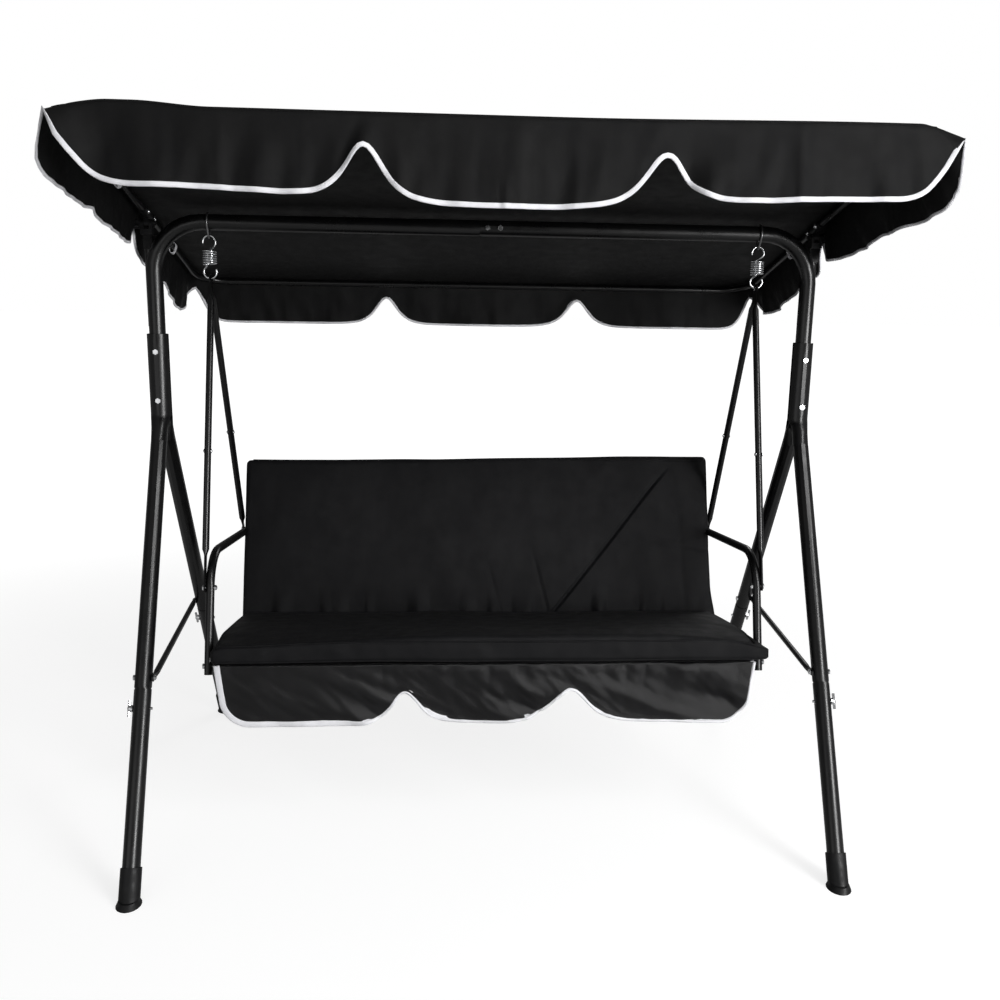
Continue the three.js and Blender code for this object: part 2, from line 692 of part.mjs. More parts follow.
// A vertical-walled block with round corners, `inset` inside the canopy's outline.
function canopyPlan(inset) {
  const [x, r] = [CANOPY_X - inset, CANOPY_CORNER_R - inset];
  const [front, rear] = [CANOPY_Y[0] + inset, CANOPY_Y[1] - inset];
  const shape = new THREE.Shape();
  shape.absarc(x - r, front + r, r, -Math.PI / 2, 0);
  shape.absarc(x - r, rear - r, r, 0, Math.PI / 2);
  shape.absarc(-x + r, rear - r, r, Math.PI / 2, Math.PI);
  shape.absarc(-x + r, front + r, r, Math.PI, 1.5 * Math.PI);
  const options = { depth: 1000, bevelEnabled: false, curveSegments: 4 };
  return new THREE.ExtrudeGeometry(shape, options).translate(0, 0, 900);
}

// Everything below a plane that slopes from front to rear, as a wide slab.
function slabBelow(frontZ, rearZ, depth = 1200) {
  const [front, rear] = [CANOPY_Y[0] - 200, CANOPY_Y[1] + 200];
  const slope = (rearZ - frontZ) / (CANOPY_Y[1] - CANOPY_Y[0]);
  const z = (y) => frontZ + slope * (y - CANOPY_Y[0]);
  const corners = [
    [front, z(front) - depth],
    [rear, z(rear) - depth],
    [rear, z(rear)],
    [front, z(front)],
  ];
  const outline = corners.map(([y, height]) => new THREE.Vector2(y, height));
  return loft([-2000, 2000].map((x) => ({ outline, at: V(x, 0, 0), u: AXIS_Y, v: AXIS_Z })));
}

// Height of the roof plane `up` above the pivot plane, at a distance from the front.
function roofZ(y, up) {
  const rise = up / Math.cos(CANOPY_TILT);
  return PIVOT.z + rise - (y - PIVOT.y) * Math.tan(CANOPY_TILT);
}

// Pointed arch that separates two lobes of a valance, cut across a wall along +Y.
function archCutter(halfWidth, height, reach) {
  const shape = new THREE.Shape();
  shape.moveTo(-halfWidth - 25, -120);
  shape.lineTo(halfWidth + 25, -120);
  shape.lineTo(halfWidth + 25, -1);
  shape.quadraticCurveTo(halfWidth * 0.42, 2, halfWidth * 0.2, height * 0.62);
  shape.quadraticCurveTo(halfWidth * 0.1, height, 0, height);
  shape.quadraticCurveTo(-halfWidth * 0.1, height, -halfWidth * 0.2, height * 0.62);
  shape.quadraticCurveTo(-halfWidth * 0.42, 2, -halfWidth - 25, -1);
  const options = { depth: reach, bevelEnabled: false, curveSegments: 3 };
  return new THREE.ExtrudeGeometry(shape, options).translate(0, 0, -reach / 2).rotateX(Math.PI / 2);
}

function canopyFabric() {
  const front = roofZ(CANOPY_Y[0], ROOF_HEIGHT[1]);
  const rear = roofZ(CANOPY_Y[1], ROOF_HEIGHT[1]);
  const sheet = (ROOF_HEIGHT[1] - ROOF_HEIGHT[0]) / Math.cos(CANOPY_TILT);
  const bottomFront = front - VALANCE_DROP.front;
  const bottomRear = rear - VALANCE_DROP.rear;
  const roofed = common(canopyPlan(0), slabBelow(front, rear));
  const outer = cut(roofed, slabBelow(bottomFront, bottomRear));
  const inner = common(canopyPlan(CANOPY_WALL), slabBelow(front - sheet, rear - sheet));
  const arch = archCutter(NOTCH.halfWidth, NOTCH.height, 60);
  const notches = [];
  for (const x of [-VALANCE_NOTCH_X, VALANCE_NOTCH_X]) {
    notches.push(arch.clone().translate(x, CANOPY_Y[0], bottomFront));
    notches.push(arch.clone().scale(1, 1, 0.75).translate(x, CANOPY_Y[1], bottomRear));
  }
  const slitLow = V(CANOPY_X - 20, PIVOT.y - SLIT_HALF_WIDTH, 1000);
  const slitHigh = V(CANOPY_X + 20, PIVOT.y + SLIT_HALF_WIDTH, PIVOT.z + SLIT_HALF_WIDTH);
  const slit = box(slitLow, slitHigh);
  for (const side of Object.values(SIDES)) {
    const cornerArch = archCutter(NOTCH.halfWidth, NOTCH.height, 120);
    const [x, inset] = [side * (CANOPY_X - 26), 26];
    notches.push(cornerArch.clone().rotateZ((side * Math.PI) / 4)
      .translate(x, CANOPY_Y[0] + inset, bottomFront - 6));
    notches.push(cornerArch.clone().scale(1, 1, 0.8).rotateZ((-side * Math.PI) / 4)
      .translate(x, CANOPY_Y[1] - inset, bottomRear + 6));
    notches.push(slit.clone().translate(side > 0 ? 0 : -2 * CANOPY_X, 0, 0));
  }
  return cut(outer, inner, ...notches);
}

function addCanopy() {
  for (const [name, side] of Object.entries(SIDES)) {
    add(`canopy_bracket_${name}`, canopyBracket(side), "plastic");
    add(`canopy_knob_${name}`, canopyKnob(side), "plastic");
    add(`canopy_joiner_${name}`, canopyJoiner(side), "plastic");
  }
  for (const [name, end] of Object.entries(ENDS)) {
    add(`canopy_rod_${name}`, canopyRod(end), "frame_paint");
  }
  add("canopy_fabric", canopyFabric(), "fabric");
}

// ---- Suspension ----
// Closed wire loop over the bar: two arcs joined by straight legs, in an upright plane.
function hangerLoop(side) {
  const [big, small] = LOOP_R;
  const lowCentre = LOOP_END_Z + small;
  const spread = Math.asin((big - small) / (BAR_Z - lowCentre));
  const arc = (centreZ, radius, from, to, steps) => {
    const stations = [];
    for (let k = 0; k <= steps; k++) {
      const angle = THREE.MathUtils.lerp(from, to, k / steps);
      const [c, s] = [Math.cos(angle), Math.sin(angle)];
      const at = V(side * HANG_X, radius * c, centreZ + radius * s);
      stations.push(section(circle(LOOP_WIRE_R, HIDDEN_SIDES), { at, t: V(0, -s, c) }, AXIS_X));
    }
    return stations;
  };
  const over = arc(BAR_Z, big, -spread, Math.PI + spread, 12);
  const under = arc(lowCentre, small, Math.PI + spread, 2 * Math.PI - spread, 6);
  return loft([...over, ...under], true);
}

// Tension spring: a coil between two open hooks that face opposite ways.
function spring(side) {
  const points = [];
  const hook = (way) => {
    const arcCentre = way > 0 ? HOOK_TOP_Z - SPRING.hook : HOOK_END_Z + SPRING.hook;
    const arcPoints = [];
    for (let k = -1; k <= 9; k++) {
      const angle = (k * Math.PI) / 9;
      const x = way * SPRING.hook * Math.cos(angle);
      const rise = k < 0 ? -4.5 : SPRING.hook * Math.sin(angle);
      arcPoints.push(V(x, 0, arcCentre + way * rise));
    }
    return arcPoints;
  };
  points.push(...hook(1).reverse());
  const steps = Math.round(SPRING.turns * 12);
  for (let k = 1; k < steps; k++) {
    const angle = (k / 12) * 2 * Math.PI;
    const z = THREE.MathUtils.lerp(SPRING.top, SPRING.bottom, k / steps);
    points.push(V(SPRING.coil * Math.cos(angle), SPRING.coil * Math.sin(angle), z));
  }
  points.push(...hook(-1));
  points.forEach((p) => p.add(V(side * HANG_X, 0, 0)));
  const curve = new THREE.CatmullRomCurve3(points);
  const shape = new THREE.Shape(circle(SPRING.wire, 6));
  return new THREE.ExtrudeGeometry(shape, { steps: 76, extrudePath: curve });
}

// Rod from the spring's lower hook to the seat; the two flats share the hook side by side.
function hangerRod(side, end) {
  const foot = end < 0 ? FRONT_HANGER_FOOT : REAR_HANGER_FOOT;
  const apex = V(side * (HANG_X + end * 1.7), 0, HOOK_END_Z - 1.2);
  const low = V(side * HANG_X, foot.y, foot.z);
  const t = direction(apex, low);
  const flats = end < 0 ? [48, 84] : [48, 34];
  const rod = flatEndedRod(shifted(apex, t, -11), shifted(low, t, 11), HANGER_R, flats, HANGER_FLAT);
  const eye = boltHole(apex, AXIS_X, 10, HANGER_EYE_R);
  return cut(rod, eye, boltHole(low, AXIS_X, 10));
}

function addSuspension() {
  for (const [name, side] of Object.entries(SIDES)) {
    add(`hanger_loop_${name}`, hangerLoop(side), "zinc");
    add(`spring_${name}`, spring(side), "zinc");
    add(`hanger_rod_front_${name}`, hangerRod(side, -1), "frame_paint");
    add(`hanger_rod_rear_${name}`, hangerRod(side, 1), "frame_paint");
  }
}

// ---- Seat ----
const armPoint = (side, { y, z }) => V(side * ARM_X, y, z);

function armrest(side) {
  const corners = [ARM_BACK, ARM_CORNER, ARM_FOOT].map((point) => armPoint(side, point));
  const arm = pipe(bentPath(corners, ARM_BEND_R, 8), ARM_R, ARM_BORE_R, AXIS_X, SLIM_SIDES, HIDDEN_SIDES);
  const bolts = [FRONT_HANGER_FOOT, REAR_HANGER_FOOT, ARM_LOW_BOLT];
  return cut(arm, ...bolts.map((point) => boltHole(armPoint(side, point), AXIS_X, 20)));
}

// One tube: down from the left stub, forward, across the front, back, and up to the right stub.
function seatTubePath() {
  const stub = (side) => backPoint(side * SEAT_FRAME_X, SEAT_STUB, BACK_TUBE_BEHIND);
  const rear = (side) => seatPoint(side * SEAT_FRAME_X, SEAT_CORNER, SEAT_TUBE_UP);
  const front = (side) => seatPoint(side * SEAT_FRAME_X, SEAT_FRONT, SEAT_TUBE_UP);
  const corners = [stub(-1), rear(-1), front(-1), front(1), rear(1), stub(1)];
  const path = bentPath(corners, SEAT_BEND_R, 4);
  return path.map((station) => ({ ...station, side: SEAT_UP.clone().cross(station.t).normalize() }));
}

function seatFrame() {
  const path = seatTubePath();
  const crossBars = [-90, 120].map((along) => {
    const reach = SEAT_FRAME_X - SEAT_TUBE_BORE_R - 0.8;
    const at = (x) => seatPoint(x, along, SEAT_TUBE_UP - 1);
    return cylinder(at(-reach), at(reach), 7, 8);
  });
  const holes = [-1, 1].map((side) =>
    boltHole(V(side * SEAT_FRAME_X, ARM_LOW_BOLT.y, ARM_LOW_BOLT.z), AXIS_X, 20));
  const shell = pipe(path, SEAT_TUBE_R, SEAT_TUBE_BORE_R, AXIS_X, SLIM_SIDES);
  return cut(join(shell, ...crossBars), ...holes);
}

function backFrame() {
  const x = SEAT_FRAME_X;
  const at = (side, up) => backPoint(side * x, up, BACK_TUBE_BEHIND);
  const foot = SEAT_STUB + GAP;
  const top = BACK_TOP - SEAT_TUBE_R;
  const path = bentPath([at(-1, foot), at(-1, top), at(1, top), at(1, foot)], 60, 6);
  const swages = [-1, 1].map((side) =>
    cylinder(at(side, foot + 15), at(side, foot - 45), BACK_SWAGE_R));
  const outer = join(tube(path, SEAT_TUBE_R, BACK_BEHIND, SLIM_SIDES), ...swages);
  const bore = tube(stretched(path, 60, 60), 8, BACK_BEHIND, HIDDEN_SIDES);
  const bar = cylinder(at(-1, 120).add(V(8.4, 0, 0)), at(1, 120).add(V(-8.4, 0, 0)), 7, 8);
  const holes = [-1, 1].map((side) => {
    const { y, z } = REAR_HANGER_FOOT;
    return boltHole(V(side * x, y, z), AXIS_X, 20);
  });
  return cut(join(cut(outer, bore), bar), ...holes);
}

function seatBolts(side) {
  const across = (point, from, to) => {
    const at = (x) => V(side * x, point.y, point.z);
    return bolt(at(from), at(to));
  };
  const outside = HANG_X + HANGER_FLAT.thick / 2 + GAP;
  const frameInside = SEAT_FRAME_X - SEAT_TUBE_R - GAP;
  return {
    hanger_bolt_front: across(FRONT_HANGER_FOOT, outside, ARM_X - ARM_R - GAP),
    hanger_bolt_rear: across(REAR_HANGER_FOOT, outside, frameInside),
    arm_bolt: across(ARM_LOW_BOLT, ARM_X + ARM_R + GAP, frameInside),
  };
}

// Rectangle from (inset, inset), with corner arcs that shrink as the inset grows.
function roundedOutline(length, thick, inset) {
  const r = CUSHION_EDGE_R - inset * 0.8;
  const [far, high] = [length - inset - r, thick - inset - r];
  const centres = [[far, high], [inset + r, high], [inset + r, inset + r], [far, inset + r]];
  return centres.flatMap(([along, up], corner) =>
    [0, 1, 2, 3].map((k) => {
      const angle = ((corner + k / 3) * Math.PI) / 2;
      return new THREE.Vector2(along + r * Math.cos(angle), up + r * Math.sin(angle));
    }));
}

// Box with all its edges rounded; `point` places (x, along, up) in the seat or the backrest.
function cushion(halfX, thick, length, point) {
  const r = CUSHION_EDGE_R;
  const rows = [[-halfX, r], [-halfX + r * 0.3, r * 0.3], [-halfX + r, 0]];
  const origin = point(0, 0, 0);
  const u = direction(origin, point(0, 1, 0));
  const v = direction(origin, point(0, 0, 1));
  const way = u.clone().cross(v).x;
  const sections = [...rows, ...rows.toReversed().map(([x, inset]) => [-x, inset])];
  return loft(sections.map(([x, inset]) => {
    const outline = roundedOutline(length, thick, inset);
    return { outline, at: point(way * x, 0, 0), u, v };
  }));
}

function seatCushion() {
  const { x, from, to, thick } = SEAT_CUSHION;
  return cushion(x, thick, to - from, (px, along, up) => seatPoint(px, from + along, GAP + up));
}

function backCushion() {
  const { x, from, to, thick } = BACK_CUSHION;
  return cushion(x, thick, to - from, (px, up, behind) => backPoint(px, from + up, behind));
}

// Support cloth under the seat cushion, with the scalloped skirt hanging from its front edge.
function seatSkirt() {
  const front = seatPoint(0, SEAT_FRONT - SEAT_TUBE_R - 5, 0);
  const [from, to] = [SEAT_FRONT - SEAT_TUBE_R - 8, SEAT_CORNER - 20];
  const [low, high] = [-SLING_THICK, -0.2];
  const corners = [[from, low], [to, low], [to, high], [from, high]];
  const sheet = loft([-SKIRT_X, SKIRT_X].map((x) => ({
    outline: corners.map(([along, up]) => new THREE.Vector2(along, up)),
    at: seatPoint(x, 0, 0),
    u: SEAT_ALONG,
    v: SEAT_UP,
  })));
  const top = front.z - 1.5;
  const panel = box(V(-SKIRT_X, SKIRT_Y, SKIRT_END_Z), V(SKIRT_X, SKIRT_Y + SLING_THICK, top));
  const arch = archCutter(NOTCH.halfWidth, 78, 40);
  const notches = [-SKIRT_NOTCH_X, SKIRT_NOTCH_X].map((x) =>
    arch.clone().translate(x, SKIRT_Y, SKIRT_END_Z));
  return cut(join(sheet, panel), ...notches);
}

function addSeat() {
  for (const [name, side] of Object.entries(SIDES)) {
    add(`armrest_${name}`, armrest(side), "frame_paint");
    for (const [boltName, geometry] of Object.entries(seatBolts(side))) {
      add(`${boltName}_${name}`, geometry, "zinc");
    }
  }
  add("seat_frame", seatFrame(), "frame_paint");
  add("back_frame", backFrame(), "frame_paint");
  add("seat_cushion", seatCushion(), "fabric");
  add("back_cushion", backCushion(), "fabric");
  add("seat_skirt", seatSkirt(), "fabric");
}

addTopFrame();
addLegs();
addBraces();
addCanopy();
addSuspension();
addSeat();

export default group;
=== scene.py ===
"""Looks of the canopy swing bench: sewn fabric, cushions, springs, small fittings, materials and light."""

import json
import math

import bpy
import numpy as np
from mathutils import Matrix, Vector, noise
from mathutils.bvhtree import BVHTree


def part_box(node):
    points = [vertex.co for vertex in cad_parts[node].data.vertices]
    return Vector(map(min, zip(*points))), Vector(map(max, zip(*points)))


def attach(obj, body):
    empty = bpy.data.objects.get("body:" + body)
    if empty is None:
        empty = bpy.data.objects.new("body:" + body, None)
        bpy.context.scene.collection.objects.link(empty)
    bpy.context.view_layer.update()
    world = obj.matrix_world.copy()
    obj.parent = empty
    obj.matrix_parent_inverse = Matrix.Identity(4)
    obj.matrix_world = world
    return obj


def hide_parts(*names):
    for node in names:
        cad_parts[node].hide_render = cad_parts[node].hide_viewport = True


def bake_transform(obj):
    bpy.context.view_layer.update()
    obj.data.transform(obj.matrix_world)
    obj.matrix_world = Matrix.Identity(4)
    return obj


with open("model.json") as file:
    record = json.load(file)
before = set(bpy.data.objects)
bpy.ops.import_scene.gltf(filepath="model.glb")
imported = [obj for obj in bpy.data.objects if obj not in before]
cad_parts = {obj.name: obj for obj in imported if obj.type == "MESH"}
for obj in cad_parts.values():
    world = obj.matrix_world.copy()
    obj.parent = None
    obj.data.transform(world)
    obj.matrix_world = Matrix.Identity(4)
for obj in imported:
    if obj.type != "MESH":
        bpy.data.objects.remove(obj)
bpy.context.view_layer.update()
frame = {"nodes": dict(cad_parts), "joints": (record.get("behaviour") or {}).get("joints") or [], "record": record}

# ---- Driving dimensions, in metres ----
JOINTS = {joint["name"]: joint for joint in frame["joints"]}
PIVOT = Vector(JOINTS["canopy_tilt"]["pos_m"])
ROD_R = 0.008  # of the canopy's rods
SIDE_ROD_RISE = 0.020  # of the canopy's side rods above its pivot

COVER_LOW, COVER_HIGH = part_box("canopy_fabric")
CORNER_R = {-1: 0.046, 1: 0.028}  # at the left and right ends, seen from above
COVER_EDGE_R = 0.010  # where the roof turns down over the rods
COLUMN_STEP = 0.0065  # between the cover's columns of points
ROOF_ROWS = 30  # from the middle of the roof to its edge
FRONT_HEM = (0.1695, 0.024)  # below the roof's slope at the middle, and how much less at the ends
TIP_REACH, TIP_SPREAD = 0.046, 0.050  # how far the right front tip is pulled out, and how gradually
REAR_DROP = 0.128  # length of the rear valance
# Lengths of the side valances, from front to rear: both ends of the front lobe, then of the rear lobe.
SIDE_DROP = {"left": (0.118, 0.092, 0.100, 0.132), "right": (0.146, 0.100, 0.106, 0.114)}
SIDE_SLIT_Y = PIVOT.y + 0.015  # between the two lobes
FRONT_NOTCHES = ((-0.261, 0.095, 0.030), (0.309, 0.089, 0.033))  # middle, height, spread
REAR_NOTCHES = ((-0.268, 0.076, 0.027), (0.293, 0.076, 0.029))
# Middle and height of each upright ridge in the front valance.
FRONT_CREASES = ((-0.795, 0.024), (-0.52, 0.007), (0.03, 0.006), (0.560, 0.014), (0.785, 0.010))
ROOF_SAG = 0.011
CLOTH_THICK = 0.0012
TIE_LOOPS = ((-0.803, -0.20, "front_left"), (-0.803, 0.23, "rear_left"),
             (0.803, -0.28, "front_right"), (0.803, 0.17, "rear_right"))

SEAT_SLOPE = math.radians(-8.8)
BACK_LEAN = math.radians(-19.6)
VOXEL = 0.0065  # size of a pad's faces before they are smoothed
SETTLE_FRAMES = 20
CORD_R = 0.0021
# Creases on the face of the backrest: start and end across and up it, depth, width.
BACK_CREASES = (
    ((0.175, 0.0), (0.530, 0.430), 0.0062, 0.0038),
    ((0.060, 0.0), (0.02, 0.17), 0.0014, 0.006),
    ((0.190, 0.0), (0.14, 0.21), 0.0020, 0.005),
    ((0.560, 0.0), (0.545, 0.34), 0.0016, 0.008),
    ((0.62, 0.20), (0.44, 0.23), 0.0025, 0.009),
)

SKIRT_LOW, SKIRT_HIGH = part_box("seat_skirt")
SKIRT_FALL = 0.004  # from the front edge of the support cloth up to its highest point
SKIRT_TOP = SKIRT_HIGH.z - SKIRT_FALL
SKIRT_LENGTH = SKIRT_TOP - SKIRT_LOW.z
SKIRT_CORNER_R = 0.060
SKIRT_LEAN = 0.17  # share of its width lost per metre down
SKIRT_NOTCHES = ((-0.197, 0.077, 0.029), (0.192, 0.083, 0.040))  # middle, height, spread

SPRING_WIRE, SPRING_R, SPRING_TURNS = 0.0021, 0.0152, 6.5
UPPER_HOOK, LOWER_HOOK = 0.0335, 0.0320  # from the coil to the outside of each hook

WORLD_LIGHT = {"front": 0.80, "rear": 0.28, "left_share": 0.6, "mirrored_share": 0.42}
FLOOR_GLOW = 0.76  # seen by the camera near the bench
FLOOR_SHINE = 0.16  # mirrored in the bench
CAMERA_PLACE = Vector((-0.132, -2.452, 1.275))
CAMERA_TURN = {"yaw": 0.069, "pitch": 0.20, "roll": 0.017}
CAMERA_LENS = 35.7


# ---- Small maths ----
def smooth(low, high, value):
    """0 at `low`, rising in a smooth S to 1 at `high`."""
    t = np.clip((np.asarray(value, float) - low) / (high - low), 0.0, 1.0)
    return t * t * (3 - 2 * t)


def unit(vectors):
    """Vectors brought to length 1."""
    vectors = np.asarray(vectors, float)
    return vectors / np.maximum(np.linalg.norm(vectors, axis=-1, keepdims=True), 1e-12)


def ripple(x, y=0.0, z=0.0, octaves=2):
    """Smooth noise between about -1 and 1 at a point."""
    return noise.fractal(Vector((x, y, z)), 0.8, 2.1, octaves)


def turned(points, angle):
    """Points turned about the X axis."""
    c, s = math.cos(angle), math.sin(angle)
    return np.asarray(points, float) @ np.array([[1, 0, 0], [0, c, s], [0, -s, c]])


def bell(distance, half_width, power=1.7):
    """1 at no distance, falling in a smooth S to 0 at half_width."""
    u = np.clip(np.abs(distance) / half_width, 0, 1)
    return (0.5 + 0.5 * np.cos(math.pi * u)) ** power


def arch(distance, spread):
    """1 at no distance, with a round top and long flared feet."""
    return 1 / np.cosh(distance / spread)


def spike(distance, reach, power=1.0, blunt=0.003):
    """1 at no distance, falling steeply on both sides."""
    rounded = np.sqrt(np.square(distance) + blunt * blunt) - blunt
    return np.exp(-((rounded / reach) ** power))


# ---- Meshes ----
def piece_from(name, points, faces, uv=None):
    """A smooth-shaded object in the scene, with a UV place for each point if given."""
    mesh = bpy.data.meshes.new(name)
    mesh.from_pydata([tuple(p) for p in points], [], faces)
    if uv is not None:
        layer = mesh.uv_layers.new(name="UVMap")
        corners = np.zeros(len(mesh.loops), int)
        mesh.loops.foreach_get("vertex_index", corners)
        layer.data.foreach_set("uv", np.asarray(uv, np.float32)[corners].ravel())
    mesh.shade_smooth()
    piece = bpy.data.objects.new(name, mesh)
    bpy.context.scene.collection.objects.link(piece)
    return piece


def grid_faces(rows, columns, closed, start=0):
    """Quads between rows of points; a closed grid joins its last column to its first."""
    faces = []
    for i in range(rows - 1):
        for j in range(columns if closed else columns - 1):
            k = (j + 1) % columns
            a, b = start + i * columns, start + (i + 1) * columns
            faces.append((a + j, a + k, b + k, b + j))
    return faces


def sheet(name, rows, closed=False, hub=None, thick=CLOTH_THICK):
    """A cloth through rows of points. `hub` closes the first row of a closed grid to one point."""
    grid = np.asarray(rows, float)
    count, columns = grid.shape[:2]
    faces = grid_faces(count, columns, closed)
    points = grid.reshape(-1, 3)
    if hub is not None:
        points = np.vstack([points, [hub]])
        faces += [(len(points) - 1, (j + 1) % columns, j) for j in range(columns)]
    piece = piece_from(name, points, faces)
    solid = piece.modifiers.new("thickness", "SOLIDIFY")
    solid.thickness = thick
    solid.offset = 0.0
    return piece


def tangents(path, closed):
    """Directions along a path of points."""
    path = np.asarray(path, float)
    if closed:
        return unit(np.roll(path, -1, 0) - np.roll(path, 1, 0))
    return unit(np.gradient(path, axis=0))


def facings(rows):
    """Outward directions of a closed cloth whose rows run down and whose columns run anticlockwise."""
    grid = np.asarray(rows, float)
    across = np.roll(grid, -1, 1) - np.roll(grid, 1, 1)
    return unit(np.cross(np.gradient(grid, axis=0), across))


def carried_frames(path, closed):
    """Two axes across a path that turn as little as possible along it."""
    along = tangents(path, closed)
    first = np.cross(along[0], (0.0, 0.0, 1.0))
    if np.linalg.norm(first) < 0.1:
        first = np.cross(along[0], (1.0, 0.0, 0.0))
    sides = [unit(first)]
    for t in along[1:]:
        sides.append(unit(sides[-1] - t * (sides[-1] @ t)))
    sides = np.array(sides)
    return sides, np.cross(along, sides)


def swept(name, path, sections, u, v, closed=False):
    """A skin through outlines: sections[i] holds (across u, across v) pairs at path[i]."""
    path = np.asarray(path, float)
    sections = np.asarray(sections, float)
    rings = path[:, None] + sections[..., :1] * u[:, None] + sections[..., 1:] * v[:, None]
    count, columns = rings.shape[:2]
    walked = np.concatenate([[0], np.cumsum(np.linalg.norm(np.diff(path, axis=0), axis=1))])
    around = np.linspace(0, 1, columns)
    uv = np.stack(np.broadcast_arrays(walked[:, None], around[None]), -1).reshape(-1, 2)
    rows = count + 1 if closed else count
    faces = [tuple(i % (count * columns) for i in f) for f in grid_faces(rows, columns, True)]
    if not closed:
        faces.append(tuple(range(columns)))
        faces.append(tuple(range(count * columns - 1, (count - 1) * columns - 1, -1)))
    return piece_from(name, rings.reshape(-1, 3), faces, uv)


def circle(radius, sides):
    """An outline for a round wire."""
    turn = np.linspace(0, 2 * math.pi, sides, endpoint=False)
    return np.stack([np.cos(turn), np.sin(turn)], 1) * radius


def wire(name, path, radius, sides=12, closed=False):
    """A round wire along a path."""
    u, v = carried_frames(path, closed)
    return swept(name, path, np.repeat(circle(radius, sides)[None], len(path), 0), u, v, closed)


def tape(name, path, face, broad, narrow, thick=0.0012, closed=False):
    """A binding folded over the edge of a cloth that faces `face`, with the cloth on the left of
    the path; `broad` and `narrow` are the widths of its outer and inner faces."""
    along = tangents(path, closed)
    out = unit(face - along * np.sum(face * along, 1, keepdims=True))
    up = np.cross(out, along)
    broad = np.broadcast_to(np.asarray(broad, float), (len(path),))
    narrow = np.broadcast_to(np.asarray(narrow, float), (len(path),))
    inner = CLOTH_THICK / 2 + 0.0001
    outer = inner + thick
    lip = 0.0016
    outside = [(1, 0.0003, inner), (1, 0.0, outer * 0.85), (1, -0.0008, outer), (0.5, 0, outer * 1.08)]
    fold = [(0.0005, outer), (-lip * 0.75, outer * 0.7), (-lip, 0), (-lip * 0.75, -outer * 0.7),
            (0.0005, -outer)]
    inside = [(0.6, 0, -outer * 1.05), (1, -0.0006, -outer), (1, 0, -outer * 0.85), (1, 0.0003, -inner)]
    sections = []
    for wide, slim in zip(broad, narrow):
        section = [(wide * share + shift, depth) for share, shift, depth in outside]
        section += fold
        section += [(slim * share + shift, depth) for share, shift, depth in inside]
        sections.append(section)
    return swept(name, path, sections, up, out, closed)


def lathed(name, profile, at, axis, sides=24):
    """A turned piece: `profile` holds (radius, distance along the axis) pairs."""
    spin = Vector((0, 0, 1)).rotation_difference(Vector(axis)).to_matrix()
    rings = [[Vector(at) + spin @ Vector((r * math.cos(a), r * math.sin(a), h))
              for a in np.linspace(0, 2 * math.pi, sides, endpoint=False)] for r, h in profile]
    faces = grid_faces(len(profile), sides, True)
    faces.append(tuple(range(sides - 1, -1, -1)))
    last = (len(profile) - 1) * sides
    faces.append(tuple(range(last, last + sides)))
    piece = piece_from(name, np.array(rings).reshape(-1, 3), faces)
    piece.data.set_sharp_from_angle(angle=math.radians(35))
    return piece


def dressed(piece, material, body=None):
    """Gives a piece its material and slot, and lets it ride on a body."""
    piece.data.materials.append(material)
    if body:
        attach(piece, body)


# ---- Procedural materials ----
class Nodes:
    """Small calls that add nodes to a material's or a world's node tree."""

    def __init__(self, tree):
        self.tree = tree
        self.place = tree.nodes.new("ShaderNodeTexCoord")

    def node(self, kind, settings=None, **inputs):
        made = self.tree.nodes.new("ShaderNode" + kind)
        for key, value in (settings or {}).items():
            setattr(made, key, value)
        for key, value in inputs.items():
            socket = made.inputs[int(key[1:]) if key[0] == "_" else key.replace("_", " ")]
            if isinstance(value, bpy.types.NodeSocket):
                self.tree.links.new(value, socket)
            else:
                socket.default_value = value
        return made

    def math(self, operation, first, second=0.0):
        return self.node("Math", {"operation": operation}, _0=first, _1=second).outputs[0]

    def noise(self, scale, detail=3.0, stretch=(1, 1, 1)):
        mapped = self.node("Mapping", Vector=self.place.outputs["Object"], Scale=stretch)
        made = self.node("TexNoise", Vector=mapped.outputs[0], Scale=scale, Detail=detail)
        return made.outputs["Fac"]

    def between(self, value, low, high, start=0.3, end=0.7):
        """Maps a value from start..end to low..high."""
        settings = {"interpolation_type": "SMOOTHSTEP"}
        made = self.node("MapRange", settings, Value=value, From_Min=start, From_Max=end,
                         To_Min=low, To_Max=high)
        return made.outputs[0]

    def blend(self, share, first, second):
        mix = self.node("Mix", {"data_type": "RGBA"}, _0=share)
        mix.inputs[6].default_value = (*first, 1)
        mix.inputs[7].default_value = (*second, 1)
        return mix.outputs[2]


